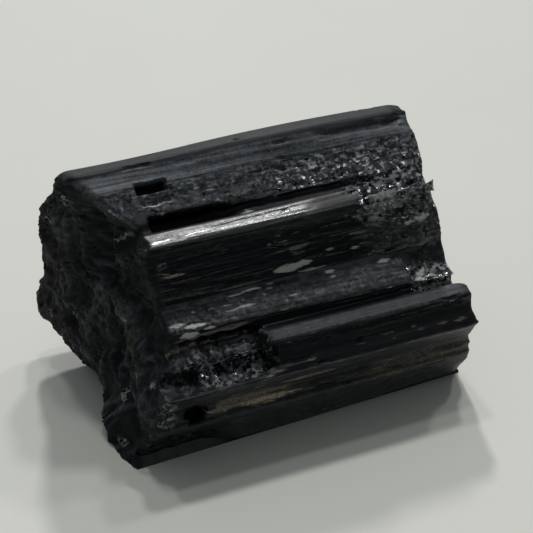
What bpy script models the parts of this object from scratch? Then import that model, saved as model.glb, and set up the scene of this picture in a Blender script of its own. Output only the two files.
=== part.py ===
"""A stubby black tourmaline (schorl) crystal, lying on its side.

The crystal is one piece: a bundle of ribs that grew side by side along +X and fused.
Its near end (-X) is a slanted break with a cleft, a slab and a ridge across it.
Its far end (+X) is a squarer break with one step.
The long sides are one grid wrapped round the cross-section. Each end is a single face
that is then cut into cells, and the cells are set in or out to make the break.

Frame: +X along the crystal, +Z up, the crystal stands on two long flats at z = 0.
Lengths below are in millimetres; MM turns them to metres.
"""

import math
from typing import NamedTuple

import bmesh
import bpy
from mathutils import Vector, noise

MM = 0.001
NAME = "tourmaline_crystal"

# Driving dimensions.
LENGTH = 55.2  # from the top corner of the near break to the far break
HEIGHT = 35.7  # floor to the highest rib

# The skin's grid.
FRONT_SPACING = 1.0  # between columns on the ribbed front and top
BACK_SPACING = 2.0  # between columns on the plainer back and underside
NEAR_ZONE = 17.0  # rings follow the slanted near end up to here
NEAR_RINGS = 14
RING_SPACING = 2.0  # beyond the near zone
FAR_ZONE = 50.0  # rings follow the far end from here
NEAR_CELL = 1.35  # cells of the near break
FAR_CELL = 2.0  # cells of the far break
SNAP = 0.2  # a cut this close to a corner goes through the corner
WALL_CLEARANCE = 0.85  # an even ring this close to a pit's wall is left out
RING_MERGE = 0.45  # rings closer than this become one
SEW = 0.01  # the grid's two long edges are joined where they meet this closely
SHARP_ANGLE = 25.0  # degrees; a corner sharper than this is shaded as an edge

# Relief of the skin.
STRIA_DEPTH = 0.3  # the fine grooves between ribs
STRIA_MEAN = 0.5  # of that depth, on average
STRIA_APART = 7.3  # how far apart in the noise two neighbouring grooves are
WANDER = 0.2  # how far a rib drifts in or out along its length
DRIFT_LENGTH = 16.0  # along which it does so
RIM_CHIPPING = 0.35  # how far the rims of the ends wander along x
CHIP_GRAIN = 1.8  # width of one such chip
PIT_GRAIN = 1.7  # width of the lumps in a broken-out place
PIT_STEEPNESS = 2.0  # of a pit's long sides: 1 slopes all the way to its middle
BREAK_ROUGHNESS = 0.4  # height of the lumps on the broken ends
NEAR_GRAIN = 3.0  # width of the near break's lumps
NEAR_STRETCH = 1.4  # they are this much taller than wide
FAR_GRAIN = 6.0  # width of the far break's lumps
FAR_SEED = 9.0  # where in the noise they are read
RIM_REACH = 2.5  # how far in from its rim an end face follows the rim
RIM_FALL = 3  # power of the distance by which that following dies away
LUMP_FALL = 0.9  # how much weaker each finer layer of lumps is
LUMP_LAYERS = 3
FLOOR_GAP = 0.25  # least height above the floor of all but the flats


class Edge(NamedTuple):
    """A long rib or groove: its place in the cross-section, and where along x it ends.

    The drifts are how far it has moved sideways and up by the far end.
    """

    name: str
    y: float
    z: float
    near: float
    far: float
    drift_y: float = 0.0
    drift_z: float = 0.0


# Round the cross-section: from the top at the back, down the front, under, and up the back.
EDGES = (
    Edge("top_back", 15.4, 35.4, -0.2, 54.8),
    Edge("top_crest", 12.9, HEIGHT, 0.7, 55.5),
    Edge("top_groove", 11.5, 34.8, 1.8, 54.8),
    Edge("band_top", 8.9, 33.7, 3.8, 55.0),
    Edge("band_middle", 7.0, 31.9, 6.0, 55.1),
    Edge("slot", 4.3, 29.6, 9.0, 55.0),
    Edge("bright_rib", 2.6, 29.1, 8.6, 54.9),
    Edge("bright_rib_under", 1.5, 27.4, 8.4, 55.0),
    Edge("valley", -0.2, 24.1, 8.2, LENGTH),
    Edge("grey_rib", -3.5, 21.2, 8.8, LENGTH),
    Edge("grey_rib_under", -6.0, 18.5, 9.0, 55.2, -1.2, -1.0),
    Edge("shelf_groove", -7.9, 17.0, 8.6, LENGTH),
    Edge("shelf_rib", -9.4, 17.5, 8.0, 55.1),
    Edge("shelf_edge", -11.8, 17.1, 7.0, 54.9),
    Edge("nose_top", -14.0, 15.4, 6.2, 55.0),
    Edge("nose", -14.9, 13.2, 5.8, 55.1),
    Edge("nose_under", -13.8, 10.9, 5.4, 55.0),
    Edge("low_groove", -12.5, 9.2, 5.4, 55.1, 0.0, -0.5),
    Edge("low_line", -12.9, 8.6, 5.0, 55.3, -0.4, -0.7),
    Edge("low_slit", -12.7, 8.1, 4.8, LENGTH, -0.1, -1.0),
    Edge("low_rib", -13.4, 6.9, 4.6, 55.2, 0.0, -0.6),
    Edge("low_rib_under", -12.9, 4.4, 3.6, 55.2),
    Edge("foot_front", -12.2, 0.0, 1.2, 54.6, 1.6, 0.0),
    Edge("foot_back", -4.8, 0.0, -0.8, 54.4),
    Edge("foot_inside", -3.4, 1.3, -0.4, 54.4),
    Edge("belly", 2.4, 1.8, 0.9, 54.2),
    Edge("heel_inside", 7.2, 1.2, 1.9, 54.2),
    Edge("heel_front", 8.4, 0.0, 1.7, 54.0),
    Edge("heel_back", 13.2, 0.0, 0.4, 54.0),
    Edge("back_low", 18.2, 4.0, -2.3, 54.0),
    Edge("back_bulge", 21.4, 7.2, -4.5, 54.2),
    Edge("back_nose", 22.2, 10.4, -4.3, 54.4),
    Edge("back_fold", 20.6, 13.6, -3.6, 54.6),
    Edge("back_groove", 19.4, 16.2, -2.9, 54.8),
    Edge("back_rib", 20.1, 19.8, -2.6, 55.0),
    Edge("back_rib_top", 20.2, 24.8, -2.8, LENGTH),
    Edge("back_slope", 18.8, 29.0, -2.1, 55.0),
    Edge("back_shoulder", 16.4, 31.8, -1.1, 55.0),
)
INDEX = {edge.name: number for number, edge in enumerate(EDGES)}
FIRST_BACK = INDEX["foot_front"]
NEAR_MARK, FAR_MARK = 1, 2  # what tells the two end faces from the sides while they are cut


class Pit(NamedTuple):
    """A place where the skin is broken away, or stands proud where the depth is negative.

    The edges' names give its two long sides. Near and far are its ends along x.
    """

    side: str
    other_side: str
    near: float
    far: float
    depth: float
    near_wall: float
    far_wall: float
    roughness: float = 0.4


PITS = (
    # The top of the crystal swells a little towards the middle of its length.
    Pit("back_slope", "band_top", 6.0, 66.0, -0.5, 32.0, 28.0, 0.0),
    # A small square socket high on the near end of the granular band.
    Pit("band_top", "band_middle", 9.2, 12.8, 1.3, 0.5, 0.5),
    # The slot behind the bright rib: sudden at the near end, dying out along the rib.
    Pit("band_middle", "bright_rib", 10.4, 25.0, 1.5, 0.6, 9.0),
    # The bright rib is broken off short of the far end, and leaves a lip below the break.
    Pit("slot", "valley", 42.4, 55.2, 1.2, 0.8, 3.0),
    Pit("bright_rib_under", "grey_rib", 43.4, 54.0, -0.6, 1.5, 3.0),
    # A scoop broken out of the far end of the grey rib.
    Pit("grey_rib", "shelf_rib", 47.6, 55.0, 1.6, 0.8, 3.0),
    # The shelf rib starts only where this broken-out place ends.
    Pit("shelf_groove", "nose", 5.0, 22.6, 2.1, 1.0, 0.8),
    # A dark hollow in the low ribs beside the near break, and a chip off the far top corner.
    Pit("nose_under", "low_rib", 8.2, 12.6, 1.3, 0.8, 0.8),
    Pit("top_back", "band_top", 52.8, 56.5, 0.3, 1.0, 1.0),
    # Breaks on the back and underneath.
    Pit("back_groove", "back_rib_top", 24.0, 37.0, 0.9, 0.8, 2.4),
    Pit("back_low", "back_nose", 31.0, 46.0, 1.3, 0.8, 3.0),
    Pit("back_slope", "top_back", 40.0, 48.5, 0.7, 0.8, 1.5),
    Pit("foot_inside", "heel_inside", 18.0, 33.0, -0.6, 2.0, 2.0),
)


class Crease(NamedTuple):
    """A straight cleft (depth above 0) or ridge (below 0) on the near break."""

    start: tuple
    end: tuple
    depth: float
    width: float


CREASES = (
    Crease((10.2, 31.0), (6.4, 21.5), 2.6, 1.9),  # the dark cleft
    Crease((14.5, 31.5), (12.6, 15.0), -0.9, 2.2),  # the slab beside it
    Crease((4.2, 20.0), (-12.0, 7.2), -1.1, 1.7),  # the pale ridge down to the foot
    Crease((1.5, 12.8), (-9.5, 4.6), 1.0, 1.5),  # the gully under the ridge
    Crease((12.0, 11.5), (6.0, 5.5), 1.1, 1.6),  # a second gully, towards the heel
)

# The near break's x is BREAK_X - BREAK_SLANT * y at each of these heights.
BREAK_HEIGHTS = (0.0, 10.0, 35.0)
BREAK_X = (1.1, 1.9, 10.5)
BREAK_SLANT = (0.03, 0.277, 0.68)

# The far break steps back where y + FAR_STEP_LEAN * z is above FAR_STEP_PLACE.
FAR_SET_BACK = 0.3
FAR_STEP = 1.1
FAR_STEP_LEAN = 0.4
FAR_STEP_PLACE = 15.0
FAR_STEP_WIDTH = 1.5

# The heel is broken off at the near end.
HEEL_LIFT = 1.8
HEEL_DOWN = 8.0  # x where the heel reaches the floor


def smooth(value):
    """0 below 0, 1 above 1, and an S-curve between."""
    value = min(1.0, max(0.0, value))
    return value * value * (3.0 - 2.0 * value)


def lumps(x, y, z, grain):
    """Repeatable noise from about -1 to 1, with lumps this wide."""
    return noise.fractal(Vector((x, y, z)) / grain, LUMP_FALL, 2.0, LUMP_LAYERS)


class Column(NamedTuple):
    """One lengthwise line of the skin."""

    number: int
    y: float
    z: float
    near: float
    far: float
    drift_y: float
    drift_z: float
    out: Vector  # outward, in the cross-section
    place: float  # 2.5 is halfway from edge 2 to edge 3
    flat: bool  # on a face that the crystal stands on


def column_count(index, length):
    """How many columns the face after an edge has."""
    if EDGES[index].z == 0.0 and EDGES[index + 1].z == 0.0:
        return 2
    spacing = FRONT_SPACING if index < FIRST_BACK else BACK_SPACING
    return max(1, round(length / spacing))


def make_columns():
    """The columns in order round the cross-section."""
    made = []
    for index, start in enumerate(EDGES):
        end = EDGES[(index + 1) % len(EDGES)]
        along = Vector((end.y - start.y, end.z - start.z))
        out = Vector((along.y, -along.x)).normalized()
        count = column_count(index, along.length)
        for step in range(count):
            share = step / count
            values = [a + (b - a) * share for a, b in zip(start[1:], end[1:])]
            flat = start.z == 0.0 and (step == 0 or end.z == 0.0)
            made.append(Column(len(made), *values, out, index + share, flat))
    return made


def ring_places():
    """x of the rings, before they bend to follow the two ends."""
    near = [NEAR_ZONE * i / NEAR_RINGS for i in range(NEAR_RINGS)]
    walls = [x for pit in PITS for x in (pit.near + pit.near_wall, pit.far - pit.far_wall)]
    walls += [pit.near for pit in PITS if pit.near_wall < WALL_CLEARANCE]
    walls = [x for x in walls if NEAR_ZONE < x < LENGTH]
    count = round((LENGTH - NEAR_ZONE) / RING_SPACING)
    even = [NEAR_ZONE + (LENGTH - NEAR_ZONE) * i / count for i in range(count)]
    kept = [x for x in even if all(abs(x - wall) > WALL_CLEARANCE for wall in walls)]
    merged = [0.0]
    for x in sorted(near + kept + walls):
        if x - merged[-1] > RING_MERGE and LENGTH - x > RING_MERGE:
            merged.append(x)
    return merged + [LENGTH]


def bent(x, column):
    """x of a ring on this column."""
    rim = RIM_CHIPPING * lumps(0.0, column.y, column.z, CHIP_GRAIN)
    near = (column.near + rim) * max(0.0, 1.0 - x / NEAR_ZONE)
    far = (column.far + rim - LENGTH) * max(0.0, (x - FAR_ZONE) / (LENGTH - FAR_ZONE))
    return x + near + far


def pit_share(pit, x, place):
    """How much of a pit's depth there is here, from 0 to 1."""
    half = (INDEX[pit.other_side] - INDEX[pit.side]) % len(EDGES) / 2
    from_side = (place - INDEX[pit.side]) % len(EDGES)
    across = smooth(PIT_STEEPNESS * (1.0 - abs(from_side - half) / half))
    entering = smooth((x - pit.near) / pit.near_wall)
    leaving = smooth((pit.far - x) / pit.far_wall)
    return across * entering * leaving


def relief(x, column):
    """How far the skin stands out from the straight prism."""
    height = WANDER * noise.noise(Vector((x / DRIFT_LENGTH, column.y, column.z)))
    if column.place != int(column.place):
        place = Vector((column.number * STRIA_APART, x / DRIFT_LENGTH, STRIA_MEAN))
        height -= STRIA_DEPTH * (STRIA_MEAN + noise.noise(place))
    for pit in PITS:
        share = pit_share(pit, x, column.place)
        if share > 0.0:
            rough = pit.roughness * lumps(x, column.y, column.z, PIT_GRAIN)
            height -= share * (pit.depth + rough)
    return height


def side_point(ring, column):
    """A point of the long sides."""
    x = bent(ring, column)
    y = column.y + column.drift_y * x / LENGTH
    z = column.z + column.drift_z * x / LENGTH
    if column.flat:
        lift = HEEL_LIFT * (1.0 - smooth(x / HEEL_DOWN)) if y > 0.0 else 0.0
        return Vector((x, y, lift))
    out = column.out * relief(x, column)
    return Vector((x, y + out.x, max(FLOOR_GAP, z + out.y)))


def between(heights, values, z):
    """A value read off at height z from values given at rising heights."""
    low = 0 if z < heights[1] else 1
    share = (z - heights[low]) / (heights[low + 1] - heights[low])
    return values[low] + (values[low + 1] - values[low]) * share


def crease_depth(crease, y, z):
    """Depth of a crease at a place on the near break."""
    start, end, here = Vector(crease.start), Vector(crease.end), Vector((y, z))
    run = end - start
    share = min(1.0, max(0.0, (here - start).dot(run) / run.length_squared))
    away = (here - start - run * share).length
    return crease.depth * smooth(1.0 - away / crease.width)


def rim_offset(y, z, steps):
    """How far an end face follows its rim here. Steps are (y, z, offset) along the rim."""
    total, weights = 0.0, RIM_REACH**-RIM_FALL
    for rim_y, rim_z, step in steps:
        weight = max(math.hypot(y - rim_y, z - rim_z), SNAP) ** -RIM_FALL
        total += weight * step
        weights += weight
    return total / weights


def near_plane(y, z):
    """x of the near break's slanted plane, which is twisted: steep at the top, square below."""
    slant = between(BREAK_HEIGHTS, BREAK_SLANT, z)
    return between(BREAK_HEIGHTS, BREAK_X, z) - slant * y


def far_plane(y, z):
    """x of the far break, which has one step."""
    beyond = (y + FAR_STEP_LEAN * z - FAR_STEP_PLACE) / FAR_STEP_WIDTH
    return LENGTH - FAR_SET_BACK - FAR_STEP * smooth(beyond)


def near_relief(y, z):
    """Height of the creases and lumps on the near break, along x."""
    creases = sum(crease_depth(crease, y, z) for crease in CREASES)
    rough = lumps(0.0, y * NEAR_STRETCH, z / NEAR_STRETCH, NEAR_GRAIN)
    return creases + BREAK_ROUGHNESS * rough


def far_relief(y, z):
    """Height of the lumps on the far break, along x."""
    return BREAK_ROUGHNESS * lumps(FAR_SEED, y, z, FAR_GRAIN)


def open_skin(columns):
    """The long sides: a flat grid, wrapped round and sewn up lengthwise."""
    rings = ring_places()
    around, along = len(columns), len(rings) - 1
    shell = bmesh.new()
    bmesh.ops.create_grid(shell, x_segments=around, y_segments=along, size=0.5)
    for vertex in shell.verts:
        column = columns[round((vertex.co.x + 0.5) * around) % around]
        ring = rings[round((vertex.co.y + 0.5) * along)]
        vertex.co = side_point(ring, column)
    bmesh.ops.remove_doubles(shell, verts=shell.verts, dist=SEW)
    return shell


def cut_face(shell, mark, cell):
    """Cuts the marked end face into square cells of this size."""
    for axis, normal in ((1, Vector((0, 1, 0))), (2, Vector((0, 0, 1)))):
        corners = [v.co[axis] for face in marked(shell, mark) for v in face.verts]
        place = min(corners) + cell / 2
        while place < max(corners):
            faces = marked(shell, mark)
            parts = faces + list({e for face in faces for e in face.edges})
            parts += list({v for face in faces for v in face.verts})
            bmesh.ops.bisect_plane(
                shell, geom=parts, dist=SNAP, plane_co=normal * place, plane_no=normal
            )
            place += cell


def marked(shell, mark):
    """The faces of one end."""
    return [face for face in shell.faces if face.material_index == mark]


def close_end(shell, mark, cell, plane, relief_of):
    """Closes an end of the skin with a broken face."""
    near = mark == NEAR_MARK
    open_edges = [edge for edge in shell.edges if edge.is_boundary]
    rim = [edge for edge in open_edges if (edge.verts[0].co.x < LENGTH / 2) == near]
    steps = [(v.co.y, v.co.z, v.co.x - plane(v.co.y, v.co.z)) for v in {e.verts[0] for e in rim}]
    face = bmesh.ops.contextual_create(shell, geom=rim)["faces"][0]
    face.material_index = mark
    cut_face(shell, mark, cell)
    for vertex in {v for face in marked(shell, mark) for v in face.verts}:
        if all(face.material_index == mark for face in vertex.link_faces):
            y, z = vertex.co.y, vertex.co.z
            inside = plane(y, z) + rim_offset(y, z, steps)
            vertex.co.x = inside + relief_of(y, z)


def crystal_mesh():
    """The whole crystal as one closed mesh, in metres."""
    shell = open_skin(make_columns())
    close_end(shell, NEAR_MARK, NEAR_CELL, near_plane, near_relief)
    close_end(shell, FAR_MARK, FAR_CELL, far_plane, far_relief)
    for face in shell.faces:
        face.material_index = 0
    bmesh.ops.triangulate(shell, faces=shell.faces)
    bmesh.ops.recalc_face_normals(shell, faces=shell.faces)
    bmesh.ops.scale(shell, vec=Vector((MM, MM, MM)), verts=shell.verts)
    mesh = bpy.data.meshes.new(NAME)
    shell.to_mesh(mesh)
    shell.free()
    return mesh


def centre(mesh):
    """Moves the mesh so that the origin is on the floor below the middle of its box."""
    corners = [vertex.co for vertex in mesh.vertices]
    low = Vector(min(corner[i] for corner in corners) for i in range(3))
    high = Vector(max(corner[i] for corner in corners) for i in range(3))
    middle = (low + high) / 2
    middle.z = 0.0
    for vertex in mesh.vertices:
        vertex.co -= middle


def schorl():
    """Black tourmaline: almost black, glassy."""
    material = bpy.data.materials.new("black_tourmaline")
    material.use_nodes = True
    surface = material.node_tree.nodes["Principled BSDF"]
    surface.inputs["Base Color"].default_value = (0.012, 0.013, 0.016, 1.0)
    surface.inputs["Roughness"].default_value = 0.35
    surface.inputs["Metallic"].default_value = 0.0
    surface.inputs["IOR"].default_value = 1.64
    return material


def clear_scene():
    """Removes the objects that the file opened with."""
    for thing in list(bpy.data.objects):
        bpy.data.objects.remove(thing)


def build():
    """Makes the crystal in a collection of its own."""
    clear_scene()
    collection = bpy.data.collections.new("tourmaline")
    bpy.context.scene.collection.children.link(collection)
    mesh = crystal_mesh()
    centre(mesh)
    mesh.materials.append(schorl())
    collection.objects.link(bpy.data.objects.new(NAME, mesh))
    mesh.shade_smooth()
    mesh.set_sharp_from_angle(angle=math.radians(SHARP_ANGLE))


build()
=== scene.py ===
"""Looks of a stubby black tourmaline crystal (schorl) that lies on its side.

One fine closed mesh stands in for the plain solid. It has the same ribs, grooves, steps and
broken places, and adds the striations, the sugary broken surfaces, the clay and the chips.
The tables are in millimetres in the crystal's own frame: +X along the ribs, +Z up and the
floor at z = 0. PART_ORIGIN is where the part's origin lies in that frame.
"""

import logging
import math
import random
from dataclasses import dataclass, field
from enum import Enum

import bmesh
import bpy
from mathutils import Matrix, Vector, noise


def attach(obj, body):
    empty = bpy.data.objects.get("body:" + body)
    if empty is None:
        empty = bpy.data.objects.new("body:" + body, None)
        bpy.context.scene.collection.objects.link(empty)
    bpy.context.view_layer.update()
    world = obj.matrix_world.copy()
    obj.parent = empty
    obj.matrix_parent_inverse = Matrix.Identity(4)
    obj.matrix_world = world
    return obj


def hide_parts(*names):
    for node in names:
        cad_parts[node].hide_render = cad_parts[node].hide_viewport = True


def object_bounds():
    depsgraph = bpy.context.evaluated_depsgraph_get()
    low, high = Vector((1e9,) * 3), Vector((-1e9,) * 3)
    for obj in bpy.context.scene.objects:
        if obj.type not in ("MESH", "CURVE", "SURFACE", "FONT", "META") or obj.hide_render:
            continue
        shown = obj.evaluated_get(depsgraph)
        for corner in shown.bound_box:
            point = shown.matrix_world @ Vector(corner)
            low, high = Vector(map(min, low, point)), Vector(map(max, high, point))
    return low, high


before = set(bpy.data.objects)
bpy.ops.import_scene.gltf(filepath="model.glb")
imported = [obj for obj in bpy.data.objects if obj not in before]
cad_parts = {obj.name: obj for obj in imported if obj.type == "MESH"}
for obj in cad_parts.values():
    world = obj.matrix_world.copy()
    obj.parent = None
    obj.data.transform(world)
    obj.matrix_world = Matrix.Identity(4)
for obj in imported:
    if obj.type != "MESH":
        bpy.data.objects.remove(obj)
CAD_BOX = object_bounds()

log = logging.getLogger("tourmaline")

MM = 0.001
NODE = "tourmaline_crystal"

PART_ORIGIN = Vector((25.483, 3.663, 0.0))
LENGTH = 55.2  # from the top corner of the near break to the far break
HEIGHT = 35.7  # floor to the highest rib
FLOOR_GAP = 0.25  # least height above the floor of all but the flats it stands on
HEEL_LIFT = 1.8  # the heel is broken off at the near end by this much
HEEL_DOWN = 8.0  # x where the heel reaches the floor

# The near break's x is BREAK_X - BREAK_SLANT * y at each of these heights.
BREAK_HEIGHTS = (0.0, 10.0, 35.0)
BREAK_X = (1.1, 1.9, 10.5)
BREAK_SLANT = (0.03, 0.277, 0.68)

# The far break steps back where y + FAR_STEP_LEAN * z is above FAR_STEP_PLACE.
FAR_INSET = 0.3
FAR_STEP = 0.8
FAR_STEP_LEAN = 0.4
FAR_STEP_PLACE = 12.0
FAR_STEP_WIDTH = 9.0

# Patterns in the skin.
LUMP_FALL = 0.9  # how much weaker each finer layer of lumps is
LUMP_STEP = 2.0  # how much finer it is
LUMP_LAYERS = 3
GRAIN_TILT = 1.6  # how steeply a grain's flat face leans
GRAIN_STEP = 0.6  # how much neighbouring grains differ in height
GRAIN_SPREAD = 37.0  # keeps neighbouring grains from leaning the same way
PATCH_STEEPNESS = 2.0  # of a patch's long sides: 1 slopes all the way to its middle
PATCH_STRAY = 0.3  # how far, in faces, a fully ragged patch strays from its straight sides
STRAY_LENGTH = 1.7
BLOTCH_STEEPNESS = 2.2
BLOTCH_WOBBLE = 0.45
BLOTCH_REACH = 1.5  # how far out a wobbling blotch can reach, in its half sizes
SHARPEST_TURN = 0.95  # sine of a corner's turn, past which it isn't rounded more
ROPE_TOP = 0.8
ROPE_GAP = 2.6  # how sharp the gaps between ropes are
HALF_GRID = 0.5  # half the width of the grid that is wrapped round the crystal
QUAD = 4  # a face with more corners than this is cut into triangles

# Where in the noise each pattern is read, so that no two are alike.
RIM_SLICE, RIM_CHIP_SLICE, LEAF_SLICE, RILL_SLICE, TERRACE_SLICE = 0.0, 4.0, 7.0, 0.5, 3.3
NEAR_SLICE, FAR_SLICE, ROPE_SLICE, FINE_SLICE, BEND_SLICE = 0.0, 9.0, 1.0, 50.0, 8.0
SPOT_SLICE, BLOOM_SLICE, SPECKLE_SLICE, CLAY_SLICE = 2.0, 3.0, 6.0, 5.0

# Near end, far end and the walls there of a patch that runs the whole length.
WHOLE = (-4.0, 60.0, 1.0, 1.0)

# Shader settings that recur. A Mix node's sockets only have numbers that differ: input 0 is
# the share, 2 and 3 are the two values, 6 and 7 the two colours, and output 2 is the colour.
Socket = bpy.types.NodeSocket
FLOAT = {"data_type": "FLOAT"}
COLOUR = {"data_type": "RGBA"}
MULTIPLY_ADD = {"operation": "MULTIPLY_ADD"}
SPECK_RISE, SPECK_DROP = 2.0, -1.5  # a speck of 0.75 neither strengthens nor weakens a coat
MIDDLE_COLOUR = (0.5, 0.5, 0.5)  # what the grains' random colours average


def smooth(value: float) -> float:
    """0 below 0, 1 above 1, and an S-curve between."""
    value = min(1.0, max(0.0, value))
    return value * value * (3.0 - 2.0 * value)


def lumps(x: float, y: float, z: float, grain: float) -> float:
    """Repeatable noise from about -1 to 1, with lumps this many millimetres wide."""
    return noise.fractal(Vector((x, y, z)) / grain, LUMP_FALL, LUMP_STEP, LUMP_LAYERS)


def grain_faces(point: Vector, size: float) -> float:
    """Works out the flat-faced grains of a sugary surface.

    Args:
        point: where, in mm.
        size: width of the grains in mm.

    Returns:
        How deep their faces lie, as a share of the grit's depth.
    """
    spot = noise.voronoi(point / size)[1][0]
    tilt = noise.cell_vector(spot * GRAIN_SPREAD)
    return GRAIN_TILT * tilt.dot(point / size - spot) + GRAIN_STEP * tilt.x


@dataclass(frozen=True)
class Edge:
    """A long rib or groove: its place in the cross-section, and where along x it ends.

    The drifts are how far it has moved sideways and up by the far end.
    """

    name: str
    y: float
    z: float
    near: float
    far: float
    drift_y: float = 0.0
    drift_z: float = 0.0


# Round the cross-section: from the top at the back, down the front, under, and up the back.
EDGES = (
    Edge("top_back", 15.4, 35.4, -0.2, 54.8),
    Edge("top_crest", 12.9, HEIGHT, 0.7, 55.5),
    Edge("top_groove", 11.5, 34.8, 1.8, 54.8),
    Edge("band_top", 8.9, 33.7, 3.8, 55.0),
    Edge("band_middle", 7.0, 31.9, 6.0, 55.1),
    Edge("slot", 4.2, 29.2, 9.0, 54.3),
    Edge("bright_rib_crest", 3.2, 29.55, 8.8, 54.3),
    Edge("bright_rib", 0.8, 29.0, 8.6, 54.9, 0.0, -0.3),
    Edge("bright_rib_front", 0.2, 28.5, 8.5, 54.9, 0.0, -0.3),
    Edge("bright_rib_under", 1.6, 27.2, 8.4, 55.0),
    Edge("valley", -0.1, 24.0, 8.2, LENGTH),
    Edge("grey_rib", -2.1, 20.1, 8.8, LENGTH),
    Edge("grey_rib_under", -6.0, 18.5, 9.0, 55.2, -1.2, -1.0),
    Edge("shelf_groove", -7.0, 16.2, 8.6, LENGTH),
    Edge("shelf_rib", -9.4, 17.5, 8.0, 55.1),
    Edge("shelf_edge", -11.8, 17.1, 7.0, 54.9),
    Edge("nose_top", -13.1, 14.7, 6.2, 55.0),
    Edge("nose", -14.9, 13.2, 5.8, 55.1),
    Edge("nose_under", -13.8, 10.9, 5.4, 55.0),
    Edge("low_groove", -12.5, 9.2, 5.4, 55.1, 0.0, -0.5),
    Edge("low_line", -12.9, 8.6, 5.0, 55.3, -0.4, -0.7),
    Edge("low_slit", -12.7, 8.1, 4.8, LENGTH, -0.1, -1.0),
    Edge("low_rib", -13.4, 6.9, 4.6, 55.2, 0.0, -0.6),
    Edge("low_rib_under", -12.9, 4.4, 3.6, 55.2),
    Edge("foot_front", -12.2, 0.0, 1.2, 54.6, 1.6, 0.0),
    Edge("foot_back", -4.8, 0.0, -0.8, 54.4),
    Edge("foot_inside", -3.4, 1.3, -0.4, 54.4),
    Edge("belly", 2.4, 1.8, 0.9, 54.2),
    Edge("heel_inside", 7.2, 1.2, 1.9, 54.2),
    Edge("heel_front", 8.4, 0.0, 1.7, 54.0),
    Edge("heel_back", 13.2, 0.0, 0.4, 54.0),
    Edge("back_low", 18.2, 4.0, -2.3, 54.0),
    Edge("back_bulge", 21.4, 7.2, -4.5, 54.2),
    Edge("back_nose", 22.2, 10.4, -4.3, 54.4),
    Edge("back_fold", 20.6, 13.6, -3.6, 54.6),
    Edge("back_groove", 19.4, 16.2, -2.9, 54.8),
    Edge("back_rib", 20.1, 19.8, -2.6, 55.0),
    Edge("back_rib_top", 20.2, 24.8, -2.8, LENGTH),
    Edge("back_slope", 18.8, 29.0, -2.1, 55.0),
    Edge("back_shoulder", 16.4, 31.8, -1.1, 55.0),
)
INDEX = {edge.name: number for number, edge in enumerate(EDGES)}
FIRST_BACK = INDEX["foot_front"]
LAST_BACK = INDEX["back_slope"]


def at(name: str, share: float = 0.0) -> float:
    """A place round the cross-section: an edge, plus a share of the way to the next one."""
    return INDEX[name] + share


@dataclass(frozen=True)
class Patch:
    """A stretch of the skin: its two long sides, and how suddenly its ends along x start."""

    side: float
    other_side: float
    near: float
    far: float
    near_wall: float
    far_wall: float

    def across(self, place: float) -> float:
        """Works out the patch's share across the ribs.

        Args:
            place: place round the cross-section.

        Returns:
            How much of the patch there is, from 0 to 1.
        """
        half = (self.other_side - self.side) % len(EDGES) / 2
        from_side = (place - self.side) % len(EDGES)
        return smooth(PATCH_STEEPNESS * (1.0 - abs(from_side - half) / half))

    def near_to(self, place: float) -> bool:
        """Whether the patch, with its wobbling sides, can reach this place."""
        width = (self.other_side - self.side) % len(EDGES)
        return (place - self.side + PATCH_STRAY) % len(EDGES) < width + 2 * PATCH_STRAY

    def along(self, x: float) -> float:
        """How much of the patch there is at x, from 0 to 1."""
        return smooth((x - self.near) / self.near_wall) * smooth((self.far - x) / self.far_wall)


@dataclass(frozen=True)
class Hollow(Patch):
    """A place where the skin is broken away, or stands proud where the depth is negative."""

    depth: float
    roughness: float = 0.4
    ragged: float = 0.5
    clean: bool = False  # painted shade: no coats here, so the hollow looks black


class Coat(Enum):
    """What shows at the surface besides plain crystal. The value names the mesh attribute."""

    GRIT = "grit"  # sugary, freshly broken crystal, where pale grains are also painted in as glints
    CLAY = "clay"  # pale clay left in the grooves
    FLAKE_AND_GLINT = "chip"  # flat cleavage flakes, and pale marks that are painted glints where faces catch the light
    DUST_AND_SHEEN = "dust"  # a grey bloom on the faces that look up, partly painted sheen where light falls on them
    MATT = "matt"  # weathered and fibrous places, which hardly shine


@dataclass(frozen=True)
class Coating(Patch):
    """A stretch of the skin with one of the coats."""

    coat: Coat
    amount: float
    ragged: float = 0.5


# A True in a hollow's last place paints shade: its coats are left off so that it looks black.
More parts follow.
